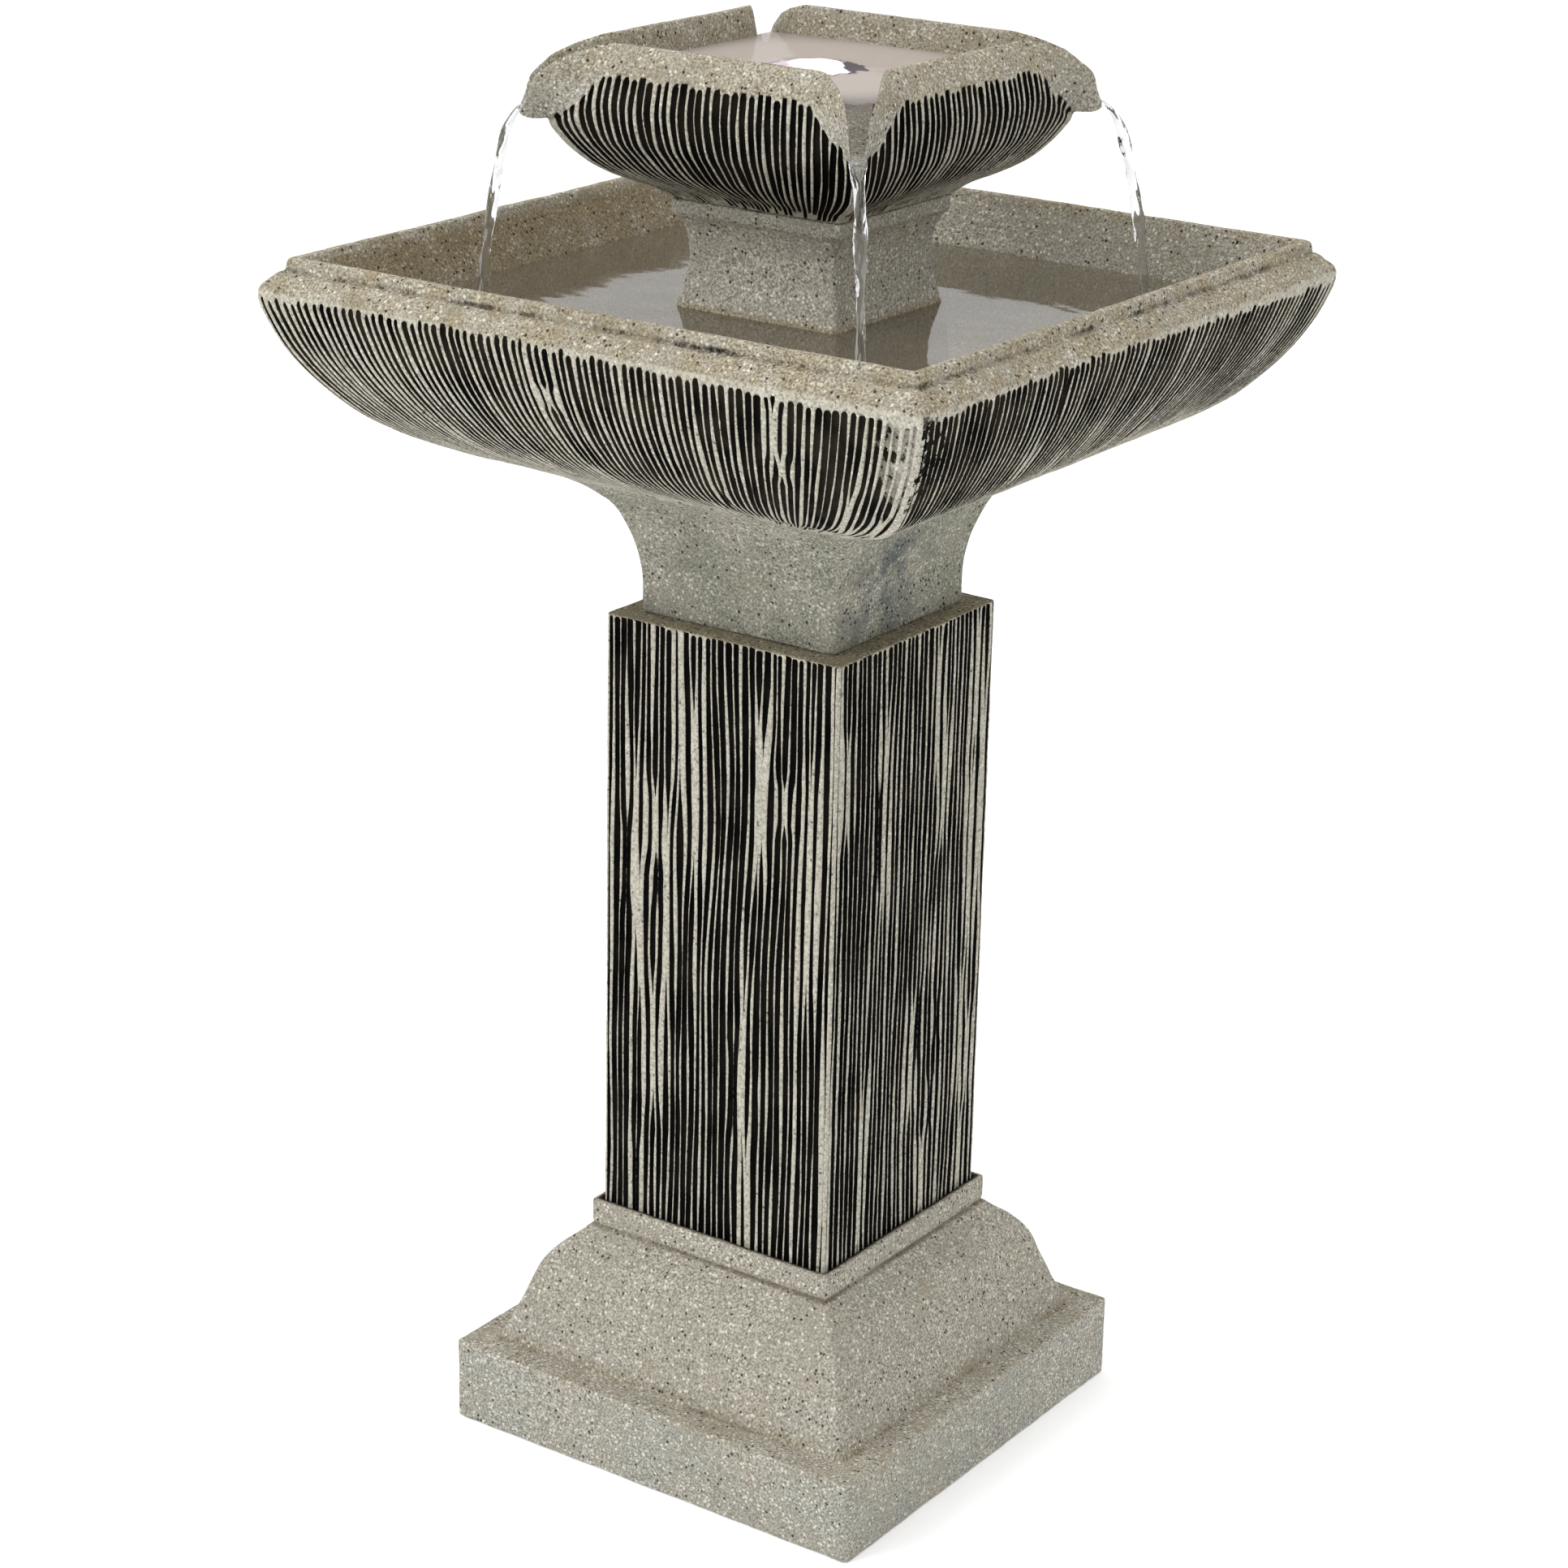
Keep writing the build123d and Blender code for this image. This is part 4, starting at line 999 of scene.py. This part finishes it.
def stone_base(nodes):
    """Colour and height of the sandy cast stone: grains, dark and pale specks and broad mottling."""
    grain = nodes.noise(0.0016, detail=3.0, rough=0.75)
    grit = nodes.noise(0.0042, detail=2.0, rough=0.6)
    patches = nodes.noise(0.06, detail=4, rough=0.6)
    warm = nodes.noise(0.021, detail=3, rough=0.6)
    colour = nodes.mix(nodes.ramp(grain, 0.33, 0.69), rgb(104, 99, 87), rgb(202, 198, 186))
    colour = nodes.mix(nodes.ramp(grit, 0.56, 0.7, 0.0, 0.35), colour, rgb(122, 115, 99))
    colour = nodes.mix(nodes.ramp(patches, 0.3, 0.72, 0.0, 0.4), colour, rgb(140, 136, 124))
    colour = nodes.mix(nodes.ramp(warm, 0.52, 0.75, 0.0, 0.3), colour, rgb(152, 140, 116))
    spots = nodes.node("TexVoronoi", {"Vector": nodes.place(), "Scale": 1 / 0.0026, "Randomness": 1.0})
    kind = nodes.node("SeparateColor", {0: spots.outputs["Color"]})
    near = nodes.ramp(spots.outputs["Distance"], 0.5, 0.26)
    dark = nodes.times(near, nodes.ramp(kind.outputs[0], 0.9, 0.92))
    pale = nodes.times(near, nodes.ramp(kind.outputs[1], 0.78, 0.82))
    colour = nodes.mix(nodes.times(dark, 0.9), colour, rgb(38, 34, 29))
    colour = nodes.mix(nodes.times(pale, 0.7), colour, rgb(226, 222, 210))
    return colour, nodes.minus(grain, nodes.times(dark, 0.5))


def stone_shader(nodes, colour, grain, shine):
    """Matte shader with grainy relief."""
    height = nodes.plus(nodes.times(grain, 0.8), nodes.times(nodes.noise(0.0008, detail=2), 0.35))
    return nodes.surface(nodes.shader("BsdfPrincipled", {
        "Base Color": colour, "Roughness": nodes.ramp(grain, 0.3, 0.7, 0.95, 0.72),
        "Specular IOR Level": shine, "Normal": nodes.bump(height, 0.7 * MM),
    }))


def ribbed_stone(name, extra, worn_at=None, wash=((8, 8, 7), (30, 26, 21))):
    """Cast stone with dark wash in the grooves of the reeding and pale, dry-brushed ridges.

    extra tints the stone, worn_at is the middle of a worn place at a corner, in metres, and wash holds the
    wash's darkest and lightest screen colours.
    """
    nodes = Nodes(name)
    colour, grain = stone_base(nodes)
    colour = extra(nodes, colour)
    # groove is the dark wash of the reeding, and on the basin's rim also painted shade in a crease.
    groove, reed = nodes.attribute("groove"), nodes.attribute("reed")
    brushed = nodes.times(reed, nodes.ramp(nodes.noise(0.0024, 3, 0.7), 0.38, 0.62, 0.1, 0.6))
    colour = nodes.mix(brushed, colour, rgb(196, 193, 179))
    rough = nodes.minus(nodes.noise(0.003, 3, 0.65), 0.5)
    ragged = nodes.plus(groove, nodes.times(rough, nodes.ramp(groove, 0.01, 0.12, 0.12, 0.5)))
    smeared = nodes.times(reed, nodes.ramp(nodes.noise(0.045, 4, 0.6), 0.52, 0.72, 0.0, 0.15))
    ragged = nodes.plus(ragged, nodes.times(smeared, nodes.ramp(nodes.noise(0.004, 2), 0.4, 0.6)))
    if worn_at:
        ragged = worn_corner(nodes, ragged, reed, worn_at)
    stain = nodes.times(nodes.ramp(groove, 0.01, 0.3, 0.0, 0.6), nodes.ramp(nodes.noise(0.012, 3), 0.25, 0.6))
    colour = nodes.mix(stain, colour, rgb(64, 58, 48))
    shade = nodes.mix(nodes.ramp(nodes.noise(0.03, 3), 0.35, 0.7), *(rgb(*tone) for tone in wash))
    colour = nodes.mix(nodes.ramp(ragged, 0.1, 0.34), colour, shade)
    return stone_shader(nodes, colour, grain, 0.03)


def worn_corner(nodes, ragged, reed, worn_at):
    """At one corner the wash is brushed off the front face and smeared over the edge of the side face."""
    place = nodes.place()
    parts = nodes.node("SeparateXYZ", {0: place}).outputs
    side = nodes.ramp(nodes.plus(parts["X"], parts["Y"]), -0.001, 0.001)
    squash = 0.45
    stretched = nodes.vector("MULTIPLY", place, (1.0, 1.0, squash))
    away = nodes.vector("DISTANCE", stretched, (worn_at[0], worn_at[1], worn_at[2] * squash), "Value")
    streak = nodes.ramp(nodes.noise(0.006, 3, 0.6), 0.36, 0.6, 0.15, 1.0)
    patch = nodes.times(nodes.ramp(away, 0.034, 0.014), streak, nodes.minus(1.0, side))
    ragged = nodes.minus(ragged, nodes.times(patch, 0.7))
    blotches = nodes.ramp(nodes.noise(0.008, 3, 0.65), 0.45, 0.59)
    smear = nodes.times(side, reed, nodes.ramp(away, 0.04, 0.022), blotches)
    return nodes.plus(ragged, nodes.times(smear, 0.38))


def smooth_stone(name, extra):
    """Plain cast stone with a tint, and a dark colour from the groove values: wash in its joints and painted
    shade in its creases.
    """
    nodes = Nodes(name)
    colour, grain = stone_base(nodes)
    colour = extra(nodes, colour)
    groove = nodes.attribute("groove")
    rough = nodes.times(nodes.minus(nodes.noise(0.006, 3, 0.65), 0.5), 0.3)
    ragged = nodes.plus(groove, nodes.times(rough, nodes.ramp(groove, 0.02, 0.2)))
    colour = nodes.mix(nodes.ramp(ragged, 0.05, 0.6, 0.0, 0.75), colour, rgb(88, 76, 58))
    colour = nodes.mix(nodes.ramp(ragged, 0.6, 0.9), colour, rgb(30, 25, 20))
    return stone_shader(nodes, colour, grain, 0.2)


def tint(nodes, colour, share, red, green, blue):
    """Multiplies a colour by a wash, where share is 1."""
    return nodes.mix(share, colour, (red, green, blue, 1.0), "MULTIPLY")


def height_band(nodes, low, high, soft):
    """1 between two heights in millimetres, 0 outside, with soft edges."""
    z = nodes.node("SeparateXYZ", {0: nodes.place()}).outputs["Z"]
    up = nodes.ramp(z, (low - soft) * MM, (low + soft) * MM)
    return nodes.times(up, nodes.ramp(z, (high + soft) * MM, (high - soft) * MM))


def patchy_band(nodes, band, size, detail, least, most, low=0.3, high=0.7):
    """A height band broken up by patches of about size metres."""
    patches = nodes.ramp(nodes.noise(size, detail), low, high, least, most)
    return nodes.times(height_band(nodes, *band), patches)


def base_tint(nodes, colour):
    """Cooler plinth sides, a thin patchy tan darkening where the plinth meets the shoulder, and painted shade
    on the shoulder and collar.
    """
    cool = patchy_band(nodes, (-10, 54, 2), 0.05, 3, 0.2, 0.9, 0.35, 0.6)
    colour = tint(nodes, colour, cool, 0.93, 0.97, 1.0)
    tan = patchy_band(nodes, (56, 62, 4), 0.03, 4, 0.2, 0.9, 0.35, 0.65)
    colour = tint(nodes, colour, tan, 0.93, 0.88, 0.78)
    # Painted shade: the shoulder and collar are darkened a little.
    return tint(nodes, colour, nodes.times(height_band(nodes, 90, 170, 25), 0.8), 0.95, 0.95, 0.93)


def pillar_tint(nodes, colour):
    """Painted shade: the ledge round the neck, under the basin, is darkened brown."""
    return tint(nodes, colour, height_band(nodes, 572.4, 580, 0.6), 0.7, 0.66, 0.56)


def basin_tint(nodes, colour):
    """Sandy rim band; a brown wet stain on the inner walls, deepened at the back left by painted shade; and
    painted shade on the neck under the basin, darkest on its right face.
    """
    rim = patchy_band(nodes, (786, 812, 3), 0.018, 4, 0.2, 0.9)
    wet = nodes.attribute("wet")
    rim = nodes.times(rim, nodes.minus(1.0, nodes.times(wet, 0.85)))
    colour = tint(nodes, colour, rim, 0.78, 0.71, 0.57)
    # Painted shade: the neck under the basin is darkened and cooled.
    neck = patchy_band(nodes, (560, 664, 8), 0.035, 4, 0.3, 1.0)
    colour = tint(nodes, colour, neck, 0.66, 0.7, 0.67)
    # Painted shade: a patchy bluish darkening on the neck's right face, which faces away from the key lamp.
    away = nodes.vector("DISTANCE", nodes.place(), (0.078, -0.02, 0.607), "Value")
    right_neck_shade = nodes.ramp(away, 0.065, 0.012)
    right_neck_shade = nodes.times(right_neck_shade, nodes.ramp(nodes.noise(0.02, 4, 0.65), 0.38, 0.6, 0.0, 0.85))
    colour = tint(nodes, colour, right_neck_shade, 0.4, 0.45, 0.55)
    # A brown wet stain on the wetted inner walls, strongest on the back-left wall, where it also stands in
    # for painted shade on a wall that faces away from the key lamp.
    x = nodes.node("SeparateXYZ", {0: nodes.place()}).outputs["X"]
    brown = nodes.times(wet, nodes.ramp(x, -0.14, -0.21, 0.12, 1.0))
    brown = nodes.times(brown, nodes.ramp(nodes.noise(0.03, 3), 0.3, 0.6, 0.6, 1.0))
    return tint(nodes, colour, brown, 0.66, 0.58, 0.45)


def riser_tint(nodes, colour):
    """The block is darker where it stands in water."""
    return tint(nodes, colour, height_band(nodes, 700, 776, 3), 0.8, 0.74, 0.62)


def bowl_tint(nodes, colour):
    """Sandy rim."""
    return tint(nodes, colour, patchy_band(nodes, (918, 945, 5), 0.016, 4, 0.3, 0.9), 0.8, 0.76, 0.66)


def water_shader(nodes, clearness, haze, haze_share, mirror, ripple_mm, size):
    """Clear, slightly cloudy water: what lies below shows through, and the surface shines at low angles.

    mirror scales the surface's reflection, and its ripples are ripple_mm high and about size metres long.
    """
    normal = nodes.bump(nodes.noise(size, 3), ripple_mm * MM)
    clear = nodes.shader("BsdfTransparent", {"Color": clearness})
    cloud = nodes.shader("BsdfDiffuse", {"Color": haze})
    gloss = nodes.shader("BsdfGlossy", {"Color": (1, 1, 1, 1), "Roughness": 0.06, "Normal": normal})
    facing = nodes.node("Fresnel", {"IOR": 1.33, "Normal": normal}).outputs[0]
    return nodes.blend(nodes.times(facing, mirror), nodes.blend(haze_share, clear, cloud), gloss)


def pool_material():
    """Water of the lower pool, brown from the stone below."""
    nodes = Nodes("pool_water")
    clearness, haze = (0.9, 0.86, 0.77, 1), (0.34, 0.3, 0.23, 1)
    return nodes.surface(water_shader(nodes, clearness, haze, 0.22, mirror=1.0, ripple_mm=0.2, size=0.03))


# The way across the lamp to its dark side.
DARK_WAY = (0.825, 0.565, 0.0)


def film_material():
    """Cloudy water over the lamp, clear in the channels, with the lamp's glow painted into it as white light
    with a violet fringe, and painted shade on one side.
    """
    nodes = Nodes("film_water")
    place = nodes.place()
    away = nodes.vector("LENGTH", nodes.vector("MULTIPLY", place, (1, 1, 0)), output="Value")
    haze_share = nodes.ramp(away, 0.08, 0.165, 1.0, 0.12)
    clearness, haze = (0.98, 0.965, 0.95, 1), (0.345, 0.305, 0.272, 1)
    water = water_shader(nodes, clearness, haze, haze_share, mirror=0.3, ripple_mm=0.3, size=0.014)
    ripple = nodes.times(nodes.minus(nodes.noise(0.011, 3), 0.5), 0.022)
    # The painted glow is nearly round, and one side of it gets painted shade instead.
    along = nodes.minus(nodes.vector("DOT_PRODUCT", place, DARK_WAY, "Value"), 0.0005)
    deep = nodes.plus(nodes.vector("DOT_PRODUCT", place, (-0.6, 0.88, 0.0), "Value"), 0.003)
    radius = nodes.math("SQRT", nodes.plus(nodes.times(along, along), nodes.times(deep, deep)))
    inside = nodes.ramp(nodes.plus(radius, ripple), 0.033, 0.03)
    lit = nodes.ramp(nodes.plus(along, ripple), 0.02, 0.016)
    # Painted shade: a dark sheet over the glow's unlit side and a thin dark ring round its edge.
    shadow = nodes.shader("BsdfDiffuse", {"Color": (0.06, 0.05, 0.07, 1)})
    dark = nodes.times(inside, nodes.minus(0.85, nodes.times(lit, 0.85)))
    outline = nodes.times(inside, nodes.ramp(nodes.plus(radius, ripple), 0.0265, 0.03, 0.0, 0.8))
    outline = nodes.times(outline, nodes.ramp(nodes.noise(0.007, 2), 0.35, 0.55))
    water = nodes.blend(nodes.math("MAXIMUM", dark, outline), water, shadow)
    fringe = nodes.ramp(nodes.plus(radius, nodes.times(ripple, 2.0)), 0.0185, 0.0265)
    end = nodes.ramp(nodes.plus(along, nodes.times(ripple, 3.0)), -0.014, -0.02)
    violet = nodes.math("MAXIMUM", fringe, end)
    colour = nodes.mix(violet, (1.0, 0.97, 1.0, 1), (0.62, 0.36, 0.66, 1))
    strength = nodes.times(inside, lit, nodes.ramp(violet, 0.0, 1.0, 0.9, 0.4), nodes.minus(1.0, outline))
    # Painted light: the water itself glows, as if lit by the lamp beneath it.
    shine = nodes.shader("Emission", {"Color": colour, "Strength": strength})
    return nodes.surface(nodes.shader("AddShader", {0: water, 1: shine}))


def stream_material():
    """Falling water: refracts what is behind, with bright streaks."""
    nodes = Nodes("falling_water")
    stretched = nodes.node("Mapping", {"Vector": nodes.place(), "Scale": (1.0, 1.0, 0.12)}).outputs[0]
    glass = nodes.shader("BsdfPrincipled", {
        "Base Color": (0.86, 0.87, 0.89, 1.0), "Roughness": 0.03, "IOR": 1.33, "Transmission Weight": 1.0,
        "Normal": nodes.bump(nodes.noise(0.0035, 2, place=stretched), 0.9 * MM, 0.8),
    })
    clear = nodes.shader("BsdfTransparent", {"Color": (0.9, 0.92, 0.95, 1.0)})
    return nodes.surface(nodes.blend(nodes.node("LightPath").outputs["Is Shadow Ray"], glass, clear))


def plain_material(name, low, high, roughness, grain_size, bump_mm=0.05, metal=0.0, see_through=0.0):
    """A moulded or turned surface with slight mottling and a fine texture."""
    nodes = Nodes(name)
    speck = nodes.noise(grain_size, 4, 0.6)
    return nodes.surface(nodes.shader("BsdfPrincipled", {
        "Base Color": nodes.mix(nodes.ramp(speck, 0.3, 0.7), low, high),
        "Roughness": nodes.ramp(speck, 0.3, 0.7, roughness * 0.85, min(1, roughness * 1.15)),
        "Metallic": metal, "Transmission Weight": see_through, "Normal": nodes.bump(speck, bump_mm * MM, 0.6),
    }))


def lamp_material():
    """Lit diodes: white, and violet towards the inside and the outside of their ring."""
    nodes = Nodes("lamp_glow")
    # Radius of the ring that the diodes stand on, and of a diode, in metres.
    ring, diode = 0.0215, 0.0025
    away = nodes.vector("LENGTH", nodes.vector("MULTIPLY", nodes.place(), (1, 1, 0)), output="Value")
    edge = nodes.ramp(nodes.math("ABSOLUTE", nodes.minus(away, ring)), diode * 0.4, diode * 0.9)
    colour = nodes.mix(edge, (1.0, 0.93, 1.0, 1), (0.62, 0.3, 1.0, 1))
    return nodes.surface(nodes.shader("Emission", {"Color": colour, "Strength": 26.0}))


def lens_material():
    """Clear lens lit from below: a white glow with violet edges, and one side dark."""
    nodes = Nodes("lens_glow")
    place = nodes.place()
    along = nodes.vector("DOT_PRODUCT", place, DARK_WAY, "Value")
    edge = nodes.ramp(nodes.math("ABSOLUTE", along), 0.012, 0.026)
    violet = nodes.math("MAXIMUM", edge, nodes.ramp(nodes.noise(0.009, 2, place=place), 0.5, 0.68))
    colour = nodes.mix(violet, (1.0, 0.97, 1.0, 1), (0.72, 0.4, 0.95, 1))
    strength = nodes.ramp(along, 0.027, 0.016, 0.02, 2.2)
    glow = nodes.shader("Emission", {"Color": colour, "Strength": strength})
    gloss = nodes.shader("BsdfPrincipled", {
        "Base Color": (0.9, 0.88, 1, 1), "Roughness": 0.1, "Transmission Weight": 0.5,
    })
    return nodes.surface(nodes.shader("AddShader", {0: glow, 1: gloss}))


def dress_nodes():
    """Gives every CAD node that still shows its own material."""
    black = plain_material("black_moulding", rgb(20, 20, 22), rgb(34, 34, 36), 0.42, 0.0011)
    rubber = plain_material("black_rubber", rgb(18, 18, 18), rgb(36, 35, 34), 0.8, 0.0016, 0.12)
    smoky = plain_material("smoky_rubber", rgb(96, 98, 98), rgb(126, 128, 127), 0.35, 0.003, 0.04)
    board = plain_material("white_board", rgb(214, 216, 214), rgb(236, 238, 235), 0.4, 0.002, 0.02)
    hose = plain_material("clear_hose", rgb(205, 212, 208), rgb(226, 232, 228), 0.16, 0.004, 0.03,
                          see_through=0.75)
    white = plain_material("white_moulding", rgb(206, 205, 198), rgb(226, 225, 219), 0.42, 0.0012)
    ferrite = plain_material("ferrite", rgb(40, 40, 43), rgb(62, 61, 62), 0.5, 0.0008, 0.05, 0.2)
    ceramic = plain_material("white_ceramic", rgb(222, 219, 210), rgb(238, 236, 230), 0.2, 0.002, 0.01)
    foam = plain_material("open_foam", rgb(22, 25, 34), rgb(60, 64, 76), 0.95, 0.0013, 1.2)
    grey = plain_material("grey_moulding", rgb(92, 95, 98), rgb(112, 115, 118), 0.4, 0.0012)
    finishes = {
        black: ["bowl_nozzle", "nozzle_nut", "led_ring_housing", "outlet_adapter", "pump_housing",
                "volute_cover", "strainer_cover"],
        rubber: ["cord_stopper", "nozzle_seal", "led_grommet", "pump_cord_gland", "shaft_bushes"],
        smoky: ["suction_cups"], board: ["led_board"], hose: ["riser_tube"], white: ["impeller"],
        ferrite: ["rotor_magnet"], ceramic: ["impeller_shaft"], foam: ["intake_foam"], grey: ["flow_dial"],
        lamp_material(): ["led_diodes"], lens_material(): ["led_ring_lens"],
    }
    for material, names in finishes.items():
        for name in names:
            dress(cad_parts[name], material)


def dress(obj, material):
    """Makes material the object's only one."""
    obj.data.materials.clear()
    obj.data.materials.append(material)


def place_piece(obj, body, material, node=None):
    """Gives a piece its material and its body, and hides the CAD node that it stands for."""
    dress(obj, material)
    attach(obj, body)
    if node:
        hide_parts(node)


# ---------------------------------------------------------------- studio

def make_studio():
    """Pale floor, white surroundings and two soft lamps."""
    radius, below_ground, daylight = 14, 0.0005, 1.02
    mesh = bpy.data.meshes.new("studio_floor")
    bm = bmesh.new()
    bmesh.ops.create_circle(bm, cap_ends=True, segments=96, radius=radius)
    bm.to_mesh(mesh)
    bm.free()
    floor = bpy.data.objects.new("studio_floor", mesh)
    bpy.context.scene.collection.objects.link(floor)
    floor.location.z = -below_ground
    nodes = Nodes("pale_floor")
    floor.data.materials.append(nodes.surface(nodes.shader("BsdfPrincipled", {
        "Base Color": nodes.mix(nodes.noise(0.02, 2), (0.95, 0.95, 0.95, 1), (0.98, 0.98, 0.98, 1)),
        "Roughness": 0.9, "Specular IOR Level": 0.1,
        "Emission Color": (1, 1, 1, 1), "Emission Strength": 0.12,
    })))
    world = bpy.data.worlds.new("studio")
    bpy.context.scene.world = world
    world.use_nodes = True
    background = world.node_tree.nodes["Background"].inputs
    background["Color"].default_value = (1, 1, 1, 1)
    background["Strength"].default_value = daylight
    add_light("key", (-1.6, -2.6, 3.0), size=2.0, power=70)
    add_light("top", (0.3, 0.2, 3.6), size=2.6, power=30)
    bpy.context.scene.view_settings.view_transform = "Standard"


def add_light(name, place, size, power):
    """A soft square lamp aimed at the middle of the fountain."""
    middle = Vector((0, 0, 0.6))
    data = bpy.data.lights.new(name, "AREA")
    data.size, data.energy = size, power
    lamp = bpy.data.objects.new(name, data)
    lamp.location = place
    lamp.rotation_euler = (middle - Vector(place)).to_track_quat("-Z", "Y").to_euler()
    bpy.context.scene.collection.objects.link(lamp)


def make_camera():
    """The photo's view, from the right of the front and above, fitted to the castings' straight edges."""
    azimuth, elevation, roll = radians(34.433), radians(20.009), radians(1.308)
    aim, distance = Vector((0, 0, 0.4497)), 2.5279
    back = Vector((sin(azimuth) * cos(elevation), -cos(azimuth) * cos(elevation), sin(elevation)))
    right = Vector((cos(azimuth), sin(azimuth), 0))
    up = back.cross(right)
    axis_x = right * cos(roll) + up * sin(roll)
    axis_y = up * cos(roll) - right * sin(roll)
    data = bpy.data.cameras.new("photo_view")
    data.lens, data.sensor_width = 88.225, 36
    data.shift_x, data.shift_y = -0.0094, 0.0011
    data.clip_end = 60
    camera = bpy.data.objects.new("photo_view", data)
    turned = Matrix((axis_x, axis_y, back)).transposed().to_4x4()
    camera.matrix_world = Matrix.Translation(aim + back * distance) @ turned
    bpy.context.scene.collection.objects.link(camera)
    bpy.context.scene.camera = camera


def main():
    """Builds every piece and puts it on its body."""
    make_studio()
    make_camera()
    dress_nodes()
    base_stone, riser_stone = smooth_stone("base_stone", base_tint), smooth_stone("riser_stone", riser_tint)
    pillar_stone = ribbed_stone("pillar_stone", pillar_tint, wash=((4, 4, 4), (19, 17, 14)))
    worn_at, basin_wash = (0.224, -0.235, 0.745), ((8, 8, 7), (42, 37, 30))
    basin_stone = ribbed_stone("basin_stone", basin_tint, worn_at, basin_wash)
    bowl_stone = ribbed_stone("bowl_stone", bowl_tint)
    place_piece(make_base(), STAND, base_stone, "base_pedestal")
    place_piece(make_pillar(), STAND, pillar_stone, "pillar")
    place_piece(make_basin(), STAND, basin_stone, "lower_basin")
    place_piece(make_riser(), RISER, riser_stone, "riser_block")
    place_piece(make_upper_bowl(), UPPER, bowl_stone, "upper_bowl")
    place_piece(make_pool(), STAND, pool_material())
    place_piece(make_film(), UPPER, film_material())
    falling = stream_material()
    for stream in make_streams():
        place_piece(stream, UPPER, falling)


main()
